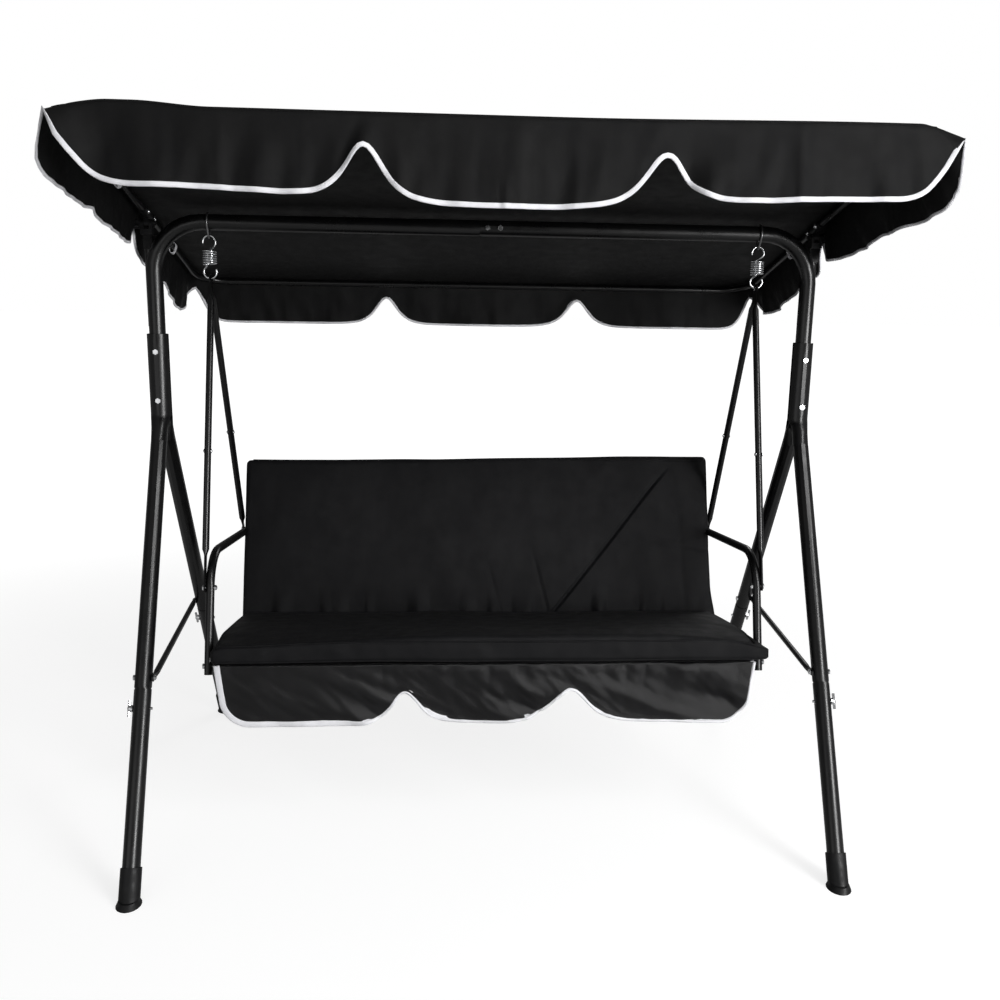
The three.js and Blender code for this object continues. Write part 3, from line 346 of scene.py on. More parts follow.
class Look(Nodes):
    """A node material; `shader` is its Principled node."""

    def __init__(self, name, **values):
        self.material = bpy.data.materials.new(name)
        self.material.use_nodes = True
        super().__init__(self.material.node_tree)
        self.shader = self.tree.nodes["Principled BSDF"]
        for key, value in values.items():
            self.shader.inputs[key.replace("_", " ")].default_value = value

    def set(self, key, value):
        self.tree.links.new(value, self.shader.inputs[key])

    def bump(self, *layers):
        """Each layer is (height, depth in metres)."""
        normal = None
        for height, depth in layers:
            made = self.node("Bump", Height=height, Distance=depth, Strength=1.0)
            if normal:
                self.tree.links.new(normal, made.inputs["Normal"])
            normal = made.outputs[0]
        self.set("Normal", normal)

    def weave(self, pitch):
        """Plain weave: crossed threads that follow the cloth's facing, -1 to 1."""
        x, y, z = self.node("SeparateXYZ", Vector=self.place.outputs["Object"]).outputs
        nx, _, nz = self.node("SeparateXYZ", Vector=self.place.outputs["Normal"]).outputs
        facing_x = self.math("GREATER_THAN", self.math("ABSOLUTE", nx), 0.7)
        facing_z = self.math("GREATER_THAN", self.math("ABSOLUTE", nz), 0.7)
        across = self.node("Mix", _0=facing_x, _2=x, _3=y).outputs[0]
        down = self.node("Mix", _0=facing_z, _2=z, _3=y).outputs[0]
        threads = [self.math("SINE", self.math("MULTIPLY", value, math.pi / pitch))
                   for value in (across, down)]
        return self.math("MULTIPLY", *threads)


def black_cloth(name, dark, light, roughness, gloss):
    """Black polyester: plain weave, faint streaks of dye and soft unevenness."""
    look = Look(name, Specular_IOR_Level=gloss, Sheen_Weight=0.012, Sheen_Roughness=0.4)
    streaks = look.noise(7.0, 3.0, (3.0, 3.0, 0.6))
    look.set("Base Color", look.blend(look.between(streaks, 0, 1, 0.25, 0.75), dark, light))
    look.set("Roughness", look.between(look.noise(30.0), roughness - 0.05, roughness + 0.07))
    look.bump((look.weave(0.0006), 0.00010), (look.noise(10.0, 2.0), 0.0016),
              (look.noise(420.0, 2.0, (1, 1, 0.2)), 0.00008))
    return look.material


def binding_tape():
    """White edge tape with fine ribs and a row of stitches."""
    look = Look("white_binding", Roughness=0.75, Sheen_Weight=0.2)
    length, around, _ = look.node("SeparateXYZ", Vector=look.place.outputs["UV"]).outputs
    soil = look.between(look.noise(24.0, 4.0), 0, 1)
    look.set("Base Color", look.blend(soil, (0.76, 0.76, 0.79), (0.88, 0.88, 0.91)))
    ribs = look.math("SINE", look.math("MULTIPLY", length, 2 * math.pi / 0.0011))
    beat = look.math("SINE", look.math("MULTIPLY", length, 2 * math.pi / 0.004))
    dash = look.math("GREATER_THAN", beat, -0.2)
    row = look.math("LESS_THAN", look.math("ABSOLUTE", look.math("SUBTRACT", around, 0.13)), 0.03)
    look.bump((ribs, 0.00012), (look.math("MULTIPLY", dash, row), 0.0004), (look.noise(40.0), 0.0012))
    return look.material


def powder_coat():
    """Black gloss powder coat: fine orange peel, a little dust."""
    look = Look("black_powder_coat", Specular_IOR_Level=0.5)
    dust = look.between(look.noise(7.0, 5.0), 0, 1, 0.45, 0.75)
    look.set("Base Color", look.blend(dust, (0.0022, 0.0022, 0.0025), (0.0050, 0.0048, 0.0047)))
    look.set("Roughness", look.between(look.noise(25.0, 4.0), 0.26, 0.34))
    look.bump((look.noise(700.0, 2.0), 0.000006), (look.noise(60.0, 2.0), 0.00002))
    return look.material


def metal(name, bright, dull, roughness):
    """Plated steel: patches that are duller and rougher."""
    look = Look(name, Metallic=1.0)
    patch = look.between(look.noise(60.0, 3.0), 0, 1)
    look.set("Base Color", look.blend(patch, bright, dull))
    look.set("Roughness", look.between(look.noise(150.0, 2.0), roughness, roughness + 0.12))
    look.bump((look.noise(900.0, 2.0), 0.00002),)
    return look.material


def moulded_plastic():
    """Black polypropylene: fine spark texture and scuffs."""
    look = Look("moulded_black_plastic", Specular_IOR_Level=0.28)
    scuff = look.between(look.noise(18.0, 6.0), 0, 1, 0.5, 0.8)
    look.set("Base Color", look.blend(scuff, (0.0045, 0.0045, 0.005), (0.014, 0.014, 0.014)))
    look.set("Roughness", look.between(look.noise(80.0), 0.42, 0.6))
    look.bump((look.noise(1100.0, 3.0), 0.0001), (look.noise(22.0, 3.0), 0.0006))
    return look.material


ROOF_CLOTH = black_cloth("canopy_cloth", (0.0042, 0.0042, 0.0045), (0.0064, 0.0063, 0.0064), 0.52, 0.13)
PAD_CLOTH = black_cloth("cushion_cloth", (0.0036, 0.0036, 0.0043), (0.0062, 0.0061, 0.0068), 0.56, 0.15)
SKIRT_CLOTH = black_cloth("skirt_cloth", (0.0040, 0.0038, 0.0042), (0.0054, 0.0052, 0.0058), 0.34, 0.32)
BINDING = binding_tape()
SLOT_LOOKS = {
    "frame_paint": powder_coat(),
    "zinc": metal("bright_zinc", (0.92, 0.93, 0.95), (0.72, 0.73, 0.74), 0.14),
    "black_plastic": moulded_plastic(),
    "black_fabric": PAD_CLOTH,
}
WORN_STEEL = metal("worn_steel", (0.34, 0.34, 0.35), (0.22, 0.22, 0.22), 0.30)


def mark_sharp_edges(mesh, angle):
    """Marks edges between faces that meet at more than `angle`. Faces share places, not vertices."""
    places = {}
    keys = [places.setdefault(tuple(round(c, 6) for c in v.co), len(places)) for v in mesh.vertices]
    sides = {}
    for face in mesh.polygons:
        ring = [keys[v] for v in face.vertices]
        for a, b in zip(ring, ring[1:] + ring[:1]):
            sides.setdefault((min(a, b), max(a, b)), []).append(face.normal)
    for edge in mesh.edges:
        a, b = (keys[v] for v in edge.vertices)
        pair = sides.get((min(a, b), max(a, b)), [])
        edge.use_edge_sharp = len(pair) == 2 and pair[0].angle(pair[1], 0.0) > angle


def dress_cad_nodes():
    """Gives every CAD node its slot's material, and smooth shading across its flats."""
    slots = {part["node"]: part["material_slot"] for part in frame["record"]["subparts"]}
    for name, node in frame["nodes"].items():
        bent_wire = name.startswith("hanger_loop")
        mesh = node.data
        mesh.materials.clear()
        mesh.materials.append(WORN_STEEL if bent_wire else SLOT_LOOKS[slots[name]])
        if "custom_normal" in mesh.attributes:
            mesh.attributes.remove(mesh.attributes["custom_normal"])
        mesh.shade_smooth()
        mark_sharp_edges(mesh, math.radians(80 if bent_wire else 44))
        weld = node.modifiers.new("weld", "WELD")
        weld.merge_threshold = 0.00001
        weighted = node.modifiers.new("even_normals", "WEIGHTED_NORMAL")
        weighted.keep_sharp = True


# ---- Canopy cover ----
def roof_tilt():
    """Slope of the canopy, from its front and rear rods."""
    front_low, front_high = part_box("canopy_rod_front")
    rear_low, rear_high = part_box("canopy_rod_rear")
    rise = (front_high.z - ROD_R) - (rear_low.z + ROD_R)
    run = (rear_high.y - ROD_R) - (front_low.y + ROD_R)
    return math.atan2(rise, run)


TILT = roof_tilt()


def canopy_place(x, along, above):
    """A place on the tilted canopy, from its pivot along its slope and above it; and the way up."""
    slope = Vector((0, math.cos(TILT), -math.sin(TILT)))
    up = Vector((0, math.sin(TILT), math.cos(TILT)))
    at = PIVOT + slope * along + up * above
    at.x = x
    return at, up


def left_dip(x):
    """How far the roof's front edge dips at its left end."""
    return 0.013 * smooth(-0.72, -0.83, x)


def edge_rise(x):
    """How far the roof's front edge stands above its slope: up over the rods' ends, slack between."""
    return 0.009 * smooth(-0.54, -0.68, x) + 0.008 * smooth(0.10, 0.75, x) - 0.003 - left_dip(x)


def roof_height(x, y):
    """Height of the stretched roof: a sloping plane, slack between its supports."""
    plane = COVER_HIGH.z - (y - COVER_LOW.y) * math.tan(TILT)
    half = np.where(y < PIVOT.y, PIVOT.y - COVER_LOW.y, COVER_HIGH.y - PIVOT.y)
    span = np.clip(np.abs(y - PIVOT.y) / half, 0, 1)
    inside = 1 - (np.abs(x) / COVER_HIGH.x) ** 6
    sag = ROOF_SAG * np.sin(math.pi * span) ** 2 * inside
    near_front = np.exp(-np.maximum(y - COVER_LOW.y, 0) / 0.10)
    return plane - sag + edge_rise(x) * near_front


def cover_outline():
    """Points, outward directions and walked lengths around the cover, from the middle of its front."""
    points, outward = [], []
    front_middle = np.array([0.0, COVER_LOW.y])
    start = front_middle
    for corner, (sign_x, sign_y) in enumerate(((1, -1), (1, 1), (-1, 1), (-1, -1))):
        r = CORNER_R[sign_x]
        centre = np.array([sign_x * (COVER_HIGH.x - r), COVER_HIGH.y - r if sign_y > 0 else COVER_LOW.y + r])
        angles = math.pi / 2 * (corner - 1 + np.linspace(0, 1, 9))
        normals = np.stack([np.cos(angles), np.sin(angles)], 1)
        arc = centre + normals * r
        steps = max(2, round(np.linalg.norm(arc[0] - start) / COLUMN_STEP))
        line = start + (arc[0] - start) * np.linspace(0, 1, steps, endpoint=False)[:, None]
        points += [*line, *arc[:-1]]
        outward += [normals[0]] * steps + [*normals[:-1]]
        start = arc[-1]
    steps = round(np.linalg.norm(front_middle - start) / COLUMN_STEP)
    line = start + (front_middle - start) * np.linspace(0, 1, steps, endpoint=False)[:, None]
    points += [*line]
    outward += [np.array([0.0, -1.0])] * steps
    points, outward = np.array(points), np.array(outward)
    gaps = np.linalg.norm(np.roll(points, -1, 0) - points, axis=1)
    walked = np.concatenate([[0], np.cumsum(gaps)[:-1]])
    return points, outward, walked, gaps.sum()


def side_drop(y, near_front, middle, behind, near_rear):
    """Depth of a side valance: a front lobe and a rear lobe, each with its own slant."""
    front_lobe = np.interp(y, (-0.48, 0.0), (near_front, middle))
    rear_lobe = np.interp(y, (0.05, 0.26, 0.43), (behind, behind + 0.004, near_rear))
    kink = 0.010 * np.exp(-(((y + 0.255) / 0.035) ** 2))
    return np.where(y < SIDE_SLIT_Y, front_lobe - kink, rear_lobe)


def valance_drop(points, outward, walked, length):
    """How far the cloth hangs below the roof's edge, with its notches, for each column."""
    def away(at):
        nearest = np.argmin(np.linalg.norm(points - np.array(at), axis=1))
        return (walked - walked[nearest] + length / 2) % length - length / 2

    x, y = points.T
    front, rear = np.clip(-outward[:, 1], 0, 1) ** 2, np.clip(outward[:, 1], 0, 1) ** 2
    side = np.where(x < 0, side_drop(y, *SIDE_DROP["left"]), side_drop(y, *SIDE_DROP["right"]))
    full_front = FRONT_HEM[0] - FRONT_HEM[1] * smooth(0.03, 0.64, np.abs(x)) + edge_rise(x)
    full_front += left_dip(x) - 0.005 * smooth(0.50, 0.72, x)
    drop = front * full_front + rear * REAR_DROP + outward[:, 0] ** 2 * side
    cut = np.zeros(len(points))
    for at, height, spread in FRONT_NOTCHES:
        cut = np.maximum(cut, height * arch(away((at, COVER_LOW.y)), spread))
    for at, height, spread in REAR_NOTCHES:
        cut = np.maximum(cut, height * arch(away((at, COVER_HIGH.y)), spread))
    for sign, front_reach, front_kept in ((-1, 0.030, 0.006), (1, 0.026, 0.026)):
        on_end = x * sign > COVER_HIGH.x - CORNER_R[sign] * 0.29
        side_slit = away((sign * COVER_HIGH.x, SIDE_SLIT_Y))
        front_tip = away_from_corner(points, sign, -1) + (TIP_REACH - tip_pull(points)) * (sign > 0)
        rear_tip = away_from_corner(points, sign, 1)
        for distance, reach, power, kept in (
                (side_slit, 0.020, 1.3, 0.040),
                (front_tip, np.where(on_end, 0.020, front_reach), 1.1, front_kept),
                (rear_tip, np.where(on_end, 0.050, 0.022), 1.2, 0.036)):
            cut = np.maximum(cut, (drop - kept) * spike(distance, reach, power))
    return drop - cut


def away_from_corner(points, sign_x, sign_y):
    """Distance to the middle of one rounded corner of the cover."""
    inset = CORNER_R[sign_x] * (1 - math.sqrt(0.5))
    x = sign_x * (COVER_HIGH.x - inset)
    y = COVER_HIGH.y - inset if sign_y > 0 else COVER_LOW.y + inset
    return np.linalg.norm(points - np.array([x, y]), axis=1)


def tip_pull(points):
    """How far the hem is pulled out sideways near the right front corner."""
    return TIP_REACH * np.exp(-away_from_corner(points, 1, -1) / TIP_SPREAD)


def valance_swing(points, outward, walked, share):
    """How far a point at `share` of the drop stands out from under the roof's edge."""
    x, y = points.T
    sides = outward[:, 0] ** 2
    near_front = np.exp(-np.maximum(y - COVER_LOW.y, 0) / 0.13)
    flare = 0.006 + sides * (0.013 + 0.024 * near_front)
    columns = list(zip(walked, share))
    broad = np.array([ripple(s / 0.085 + part * 0.3, part * 0.6) for s, part in columns])
    fine = np.array([ripple(s / 0.034, part * 0.8, 7.0) for s, part in columns])
    fold = (0.016 + 0.003 * sides) * broad + 0.003 * fine
    swing = flare * share ** 1.2 + fold * share
    front = smooth(0.6, 0.9, -outward[:, 1])
    for at, height in FRONT_CREASES:
        ridge = front * height * np.exp(-np.abs(x - at) / 0.024)
        swing += ridge * (0.3 + 0.7 * share) * smooth(0, 0.15, share)
    for at, _, _ in FRONT_NOTCHES:
        swing -= front * 0.014 * np.exp(-(((x - at - 0.040) / 0.022) ** 2)) * share ** 2
    return swing


def roof_wrinkle(x, y):
    """Soft folds on the roof that run in from its corners."""
    lift = 0.0022 * ripple(x * 2.1, y * 5.0, 3.0)
    for cx in (COVER_LOW.x, COVER_HIGH.x):
        for cy in (COVER_LOW.y, COVER_HIGH.y):
            reach = math.hypot(x - cx, y - cy)
            around = math.atan2(y - cy, x - cx)
            lift += 0.0022 * math.sin(around * 22 + cx * 3) * math.exp(-reach / 0.22)
    return lift


def canopy_cover():
    """The roof and its valances as one cloth, with its edge binding and the seam along the roof's edge."""
    points, outward, walked, length = cover_outline()
    middle = np.array([0.0, (COVER_LOW.y + COVER_HIGH.y) / 2])
    rows = []
    edge = points - outward * COVER_EDGE_R
    for share in np.linspace(0.03, 1, ROOF_ROWS):
        flat = middle + (edge - middle) * share
        fade = 1 - smooth(0.93, 1.0, share)
        lift = np.array([roof_wrinkle(*p) for p in flat]) * fade
        rows.append(np.column_stack([flat, roof_height(*flat.T) + lift]))
    top = rows[-1][:, 2]
    drop = valance_drop(points, outward, walked, length)
    hang = np.maximum(drop - COVER_EDGE_R, 0.002)
    bend = np.radians([30, 60, 90])
    falls = [(edge + outward * COVER_EDGE_R * math.sin(a),
              np.full(len(hang), COVER_EDGE_R * (1 - math.cos(a)))) for a in bend]
    falls += [(points, COVER_EDGE_R + hang * part) for part in np.linspace(0, 1, 17)[1:]]
    for base, fallen in falls:
        share = fallen / (COVER_EDGE_R + hang)
        out = base + outward * valance_swing(points, outward, walked, share)[:, None]
        out[:, 0] += tip_pull(points) * share
        rows.append(np.column_stack([out, top - fallen]))
    hub = (*middle, float(roof_height(*middle)) + roof_wrinkle(*middle))
    cover = sheet("canopy_cover", rows, closed=True, hub=hub)
    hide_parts("canopy_fabric")
    dressed(cover, ROOF_CLOTH, "canopy")
    binding = tape("canopy_binding", rows[-1], facings(rows)[-1], 0.0082, 0.0040, closed=True)
    dressed(binding, BINDING, "canopy")
    seam_row = rows[ROOF_ROWS + 1]
    seam = wire("roof_seam", seam_row + np.array([0, 0, 0.0004]), 0.0013, 8, closed=True)
    dressed(seam, ROOF_CLOTH, "canopy")


def tie_loops():
    """Bands that tie the cover to its rods, two on each side."""
    for x, y, end in TIE_LOOPS:
        centre, up = canopy_place(x, (y - PIVOT.y) / math.cos(TILT), SIDE_ROD_RISE)
        turn = np.linspace(0, 2 * math.pi, 28, endpoint=False)
        reach = 0.0098 + 0.009 * bell(turn - math.pi * 1.5, 1.2)
        face = np.outer(np.cos(turn), (1, 0, 0)) + np.outer(np.sin(turn), up)
        path = np.array(centre) + face * reach[:, None]
        band = tape(f"tie_loop_{end}", path, face, 0.012, 0.012, 0.0004, closed=True)
        dressed(band, BINDING, "canopy")


# ---- Cushions ----
def settled(piece, cap):
    """Inflates a copy of the pad a little as cloth held along its seams, and keeps the result."""
    scene = bpy.context.scene
    cloth = piece.modifiers.new("cloth", "CLOTH")
    cloth.settings.quality = 4
    cloth.settings.mass = 0.25
    cloth.settings.tension_stiffness = 12
    cloth.settings.compression_stiffness = 8
    cloth.settings.shear_stiffness = 4
    cloth.settings.bending_stiffness = 0.4
    cloth.settings.use_pressure = True
    cloth.settings.uniform_pressure_force = 4.0
    cloth.settings.effector_weights.gravity = 0.0
    cloth.settings.vertex_group_mass = "seam"
    before = np.array([v.co for v in piece.data.vertices])
    for number in range(1, SETTLE_FRAMES + 1):
        scene.frame_set(number)
    evaluated = piece.evaluated_get(bpy.context.evaluated_depsgraph_get())
    after = np.array([v.co for v in evaluated.data.vertices])
    piece.modifiers.remove(cloth)
    scene.frame_set(1)
    moved = after - before
    reach = np.linalg.norm(moved, axis=1, keepdims=True)
    moved *= np.minimum(1, cap / np.maximum(reach, 1e-9))
    piece.data.vertices.foreach_set("co", (before + moved).astype(np.float32).ravel())


def edge_gap(local, low, high):
    """Distance of points on a box's skin to the nearest of its twelve edges."""
    gaps = np.sort(np.minimum(local - low, high - local), axis=1)
    return gaps[:, 1]


def pad_blank(name, low, high):
    """A remeshed box with rounded edges, in the pad's own upright frame."""
    corners = [(x, y, z) for x in (low[0], high[0]) for y in (low[1], high[1]) for z in (low[2], high[2])]
    faces = [(0, 1, 3, 2), (4, 6, 7, 5), (0, 4, 5, 1), (2, 3, 7, 6), (0, 2, 6, 4), (1, 5, 7, 3)]
    piece = piece_from(name, corners, faces)
    bevel = piece.modifiers.new("bevel", "BEVEL")
    bevel.width = 0.009
    bevel.segments = 3
    remesh = piece.modifiers.new("remesh", "REMESH")
    remesh.mode = "VOXEL"
    remesh.voxel_size = VOXEL
    evaluated = piece.evaluated_get(bpy.context.evaluated_depsgraph_get())
    piece.data = bpy.data.meshes.new_from_object(evaluated)
    piece.modifiers.clear()
    return piece


def pad(name, node, angle, cap, shape):
    """A boxed cushion in place of a CAD solid. `shape` moves its points in the pad's own frame."""
    corners = turned([v.co for v in frame["nodes"][node].data.vertices], -angle)
    low, high = corners.min(0) + 0.003, corners.max(0) - 0.003
    piece = pad_blank(name, low, high)
    local = np.array([v.co for v in piece.data.vertices])
    held = piece.vertex_groups.new(name="seam")
    for index in np.flatnonzero(edge_gap(local, low, high) < 0.011):
        held.add([int(index)], 1.0, "REPLACE")
    settled(piece, cap)
    piece.modifiers.new("fine", "SUBSURF").levels = 1
    evaluated = piece.evaluated_get(bpy.context.evaluated_depsgraph_get())
    piece.data = bpy.data.meshes.new_from_object(evaluated)
    piece.modifiers.clear()
    local = np.array([v.co for v in piece.data.vertices])
    local = shape(local, low, high)
    piece.data.vertices.foreach_set("co", turned(local, angle).astype(np.float32).ravel())
    piece.data.update()
    piece.data.shade_smooth()
    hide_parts(node)
    dressed(piece, PAD_CLOTH, "seat")
    for label, height in (("lower", low[2]), ("upper", high[2])):
        seam_cord(f"{name}_{label}_seam", piece, low, high, height, angle)


def seam_cord(name, piece, low, high, height, angle):
    """A thin cord of folded cloth along the four edges of one face of a pad."""
    r, inset = 0.010, 0.0025
    rim = [(high[0] - inset, high[1] - inset), (low[0] + inset, high[1] - inset),
           (low[0] + inset, low[1] + inset), (high[0] - inset, low[1] + inset)]
    path = []
    for corner, (x, y) in enumerate(rim):
        centre = np.array([x - math.copysign(r, x), y - r if y == rim[0][1] else y + r])
        angles = math.pi / 2 * (corner + np.linspace(0, 1, 5))
        arc = centre + np.stack([np.cos(angles), np.sin(angles)], 1) * r
        if path:
            path += stretch(path[-1], arc[0])
        path += [*arc]
    path += stretch(path[-1], path[0])
    lift = -inset if height == high[2] else inset
    points = turned([(x, y, height + lift) for x, y in path], angle)
    mesh = piece.data
    tree = BVHTree.FromPolygons([v.co for v in mesh.vertices], [p.vertices for p in mesh.polygons])
    placed = []
    for point in points:
        at, normal, _, _ = tree.find_nearest(Vector(point))
        placed.append(at + normal * 0.0004)
    for _ in range(3):
        ahead = placed[1:] + placed[:1]
        placed = [(placed[i - 1] + placed[i] * 2 + ahead[i]) / 4 for i in range(len(placed))]
    cord = wire(name, placed, CORD_R, 8, closed=True)
    dressed(cord, PAD_CLOTH, "seat")


def stretch(start, end, step=0.012):
    """Points strictly between two points, about `step` apart."""
    start, end = np.asarray(start), np.asarray(end)
    count = max(1, round(np.linalg.norm(end - start) / step))
    return [start + (end - start) * k / count for k in range(1, count)]


def limp(local, amount, seed):
    """Slow unevenness of hand-filled foam, so that no edge is dead straight."""
    for index, (x, y, z) in enumerate(local):
        drift = [ripple(x * 3.1, y * 4.0, z * 4.0 + seed, 1),
                 ripple(x * 3.3, y * 4.0 + 9, z * 4.0 + seed, 1),
                 ripple(x * 4.0 + 5, y * 4.0, z * 4.0 + seed, 1)]
        local[index] += np.array(drift) * amount
    return local


def crease(points, start, end, depth, width):
    """Dent along a line from start to end, with a raised lap on its right, fading at both ends."""
    run = np.asarray(end, float) - start
    length = np.linalg.norm(run)
    run /= length
    rel = points - start
    along = rel @ run
    off = rel @ np.array([run[1], -run[0]])
    fade = smooth(-0.04, 0.01, along) * (1 - smooth(length - 0.08, length + 0.01, along))
    step = smooth(0, 2 * width, off) * np.exp(-np.maximum(off, 0) / (9 * width))
    return depth * fade * (0.45 * step - np.exp(-((off / width) ** 2)))


def seat_shape(local, low, high):
    """The seat pad: its front is plump in the middle and runs out to flat ends."""
    x, y, z = local.T.copy()
    raised = (z - low[2]) / (high[2] - low[2])
    front = 1 - smooth(low[1], low[1] + 0.16, y)
    plump = -0.009 + 0.024 * smooth(-0.62, 0.05, x) - 0.014 * smooth(0.30, 0.60, x)
    plump -= 0.022 * smooth(0.56, 0.64, x) + 0.010 * smooth(-0.60, -0.64, x)
    local[:, 2] += plump * raised * front
    local[:, 0] += 0.024 * smooth(0.55, 0.634, x) * front
    top = np.array([ripple(a * 5.5, b * 6.0, 21.0) for a, b in zip(x, y)]) * smooth(0.8, 1.0, raised)
    face = np.array([ripple(a * 16 + c * 9, c * 8, 31.0) for a, c in zip(x, z)])
    face *= (1 - smooth(low[1] + 0.004, low[1] + 0.016, y)) * np.sin(math.pi * np.clip(raised, 0, 1))
    local[:, 2] += 0.0035 * top
    local[:, 1] -= 0.0022 * face
    return limp(local, 0.003, 2.0)


def back_shape(local, low, high):
    """The backrest pad: wider than its frame, a long slanting crease, puckers along its foot."""
    x, y, z = local.T.copy()
    rise = (z - low[2]) / (high[2] - low[2])
    beside_arm = np.exp(-(((z - 0.205) / 0.05) ** 4)) * smooth(low[1], low[1] + 0.035, y)
    local[:, 0] += np.sign(x) * 0.014 * smooth(0.45, 0.62, np.abs(x)) * (1 - beside_arm)
    local[:, 0] += 0.010 * smooth(0.55, 0.63, x) * (1 - smooth(0.0, 0.22, rise))
    local[:, 2] += (0.018 * smooth(-0.6, 0.6, x) - 0.007) * rise
    front = 1 - smooth(low[1] + 0.008, low[1] + 0.022, y)
    face = np.stack([x, z - low[2]], 1)
    dent = sum(crease(face, *line) for line in BACK_CREASES)
    low_down = np.clip(1 - (rise - 0.07) / 0.18, 0, 1)
    gathered = np.array([max(0.0, ripple(a * 14, 0.0, 5.0) - 0.10) for a in x])
    pucker = 0.026 * gathered * low_down ** 2
    slack = np.array([ripple(a * 3.5, c * 4.0, 11.0, 3) for a, c in zip(x, z)]) * 0.0045
    local[:, 1] -= front * (dent + pucker + slack)
    return limp(local, 0.003, 8.0)


# ---- Skirt and support cloth ----
def skirt_drop(x):
    """Length of the skirt at x: three round lobes with round outer corners."""
    gap = np.clip(SKIRT_HIGH.x - np.abs(x), 0, None)
    inside = np.clip(SKIRT_CORNER_R - gap, 0, SKIRT_CORNER_R)
    corner = SKIRT_CORNER_R - np.sqrt(SKIRT_CORNER_R ** 2 - inside ** 2)
    notch = np.zeros(len(x))
    for at, height, spread in SKIRT_NOTCHES:
        notch = np.maximum(notch, height * arch(x - at, spread))
    return SKIRT_LENGTH - np.maximum(corner, notch)


def skirt_taper(z):
    """Share of its width that the skirt keeps at height z, as its sides lean in."""
    return 1 - SKIRT_LEAN * (SKIRT_TOP - z)


def skirt_fold(x, fall):
    """Depth of the skirt's folds: gathers at the sewn top, slanting folds and loose waves below."""
    share = fall / SKIRT_LENGTH
    end_gap = SKIRT_HIGH.x - abs(x)
    hem = max(float(smooth(0.75, 1.0, share)), 1 - float(smooth(0.0, 0.05, end_gap)))
    gather = -0.014 * abs(ripple(x * 12, 0.0, 1.0)) * math.exp(-share / 0.25) * min(1, share * 9)
    gather *= 0.35 + 0.65 * float(smooth(-0.36, -0.18, x))
    wave = 0.016 * ripple(x * 4.6 + share * 0.9, share * 0.8, 4.0, 1) * share
    patch = 0.35 + 1.6 * abs(ripple(x * 2.4, share * 0.7, 13.0, 1))
    slant = 0.017 * ripple(x * 7.5 - share * 2.3, share * 0.9, 6.0) * share ** 0.6 * (1 - 0.4 * hem)
    small = 0.0050 * ripple(x * 24 - share * 3.4, share * 2.0, 9.0) * share ** 0.5 * (1 - 0.8 * hem)
    return min(gather + wave + patch * (slant + small), 0.003 + 0.04 * max(0, share - 0.2))


def skirt_depth(x, z):
    """Depth of the skirt's folds at places on its face."""
    flat_x = x / skirt_taper(z)
    return np.array([skirt_fold(*pair) for pair in zip(flat_x, np.clip(SKIRT_TOP - z, 0, None))])


def skirt_facings(path):
    """Outward directions of the skirt along a path."""
    x, z, step = path[:, 0], path[:, 2], 0.003
    slope_x = (skirt_depth(x + step, z) - skirt_depth(x - step, z)) / (2 * step)
    slope_z = (skirt_depth(x, z + step) - skirt_depth(x, z - step)) / (2 * step)
    return unit(np.column_stack([slope_x, -np.ones(len(x)), slope_z]))


def front_skirt():
    """The lobed skirt that hangs from the front tube of the seat, and its binding."""
    front_y = SKIRT_LOW.y + 0.004
    bend = np.sin(np.linspace(0, math.pi / 2, 18, endpoint=False))
    right_end = SKIRT_HIGH.x - SKIRT_CORNER_R * (1 - bend)
    inner = SKIRT_HIGH.x - SKIRT_CORNER_R
    columns = np.concatenate([-right_end[::-1], np.linspace(-inner, inner, 270)[1:-1], right_end])
    drop = skirt_drop(columns)
    rows = []
    for share in np.linspace(0, 1, 34):
        folds = np.array([skirt_fold(*pair) for pair in zip(columns, drop * share)])
        z = SKIRT_TOP - drop * share
        rows.append(np.column_stack([columns * skirt_taper(z), front_y + folds, z]))
    skirt = sheet("front_skirt", rows)
    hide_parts("seat_skirt")
    dressed(skirt, SKIRT_CLOTH, "seat")
    grid = np.array(rows)
    path = np.vstack([grid[:-1, 0], grid[-1], grid[-2::-1, -1]])
    broad = 0.0045 + 0.0080 * (1 - smooth(-0.33, -0.24, path[:, 0]))
    binding = tape("skirt_binding", path, skirt_facings(path), broad, 0.011, 0.0018)
    dressed(binding, BINDING, "seat")


def support_cloth():
    """The cloth that carries the seat pad, slack between the front and rear tubes."""
    low, high = SKIRT_LOW, SKIRT_HIGH
    columns = np.linspace(low.x + 0.004, high.x - 0.004, 60)
    rows = []
    for share in np.linspace(0, 1, 24):
        y = low.y + 0.010 + (high.y - low.y - 0.010) * share
        z = high.z - 0.003 - (y - low.y) * math.tan(-SEAT_SLOPE)
        slack = 0.006 * math.sin(math.pi * share) * (1 - (columns / high.x) ** 4)
        ruck = np.array([ripple(x * 7, share * 4, 2.0) for x in columns]) * 0.0012
        rows.append(np.column_stack([columns, np.full(60, y), z - slack + ruck]))
    dressed(sheet("support_cloth", rows, thick=0.0016), SKIRT_CLOTH, "seat")


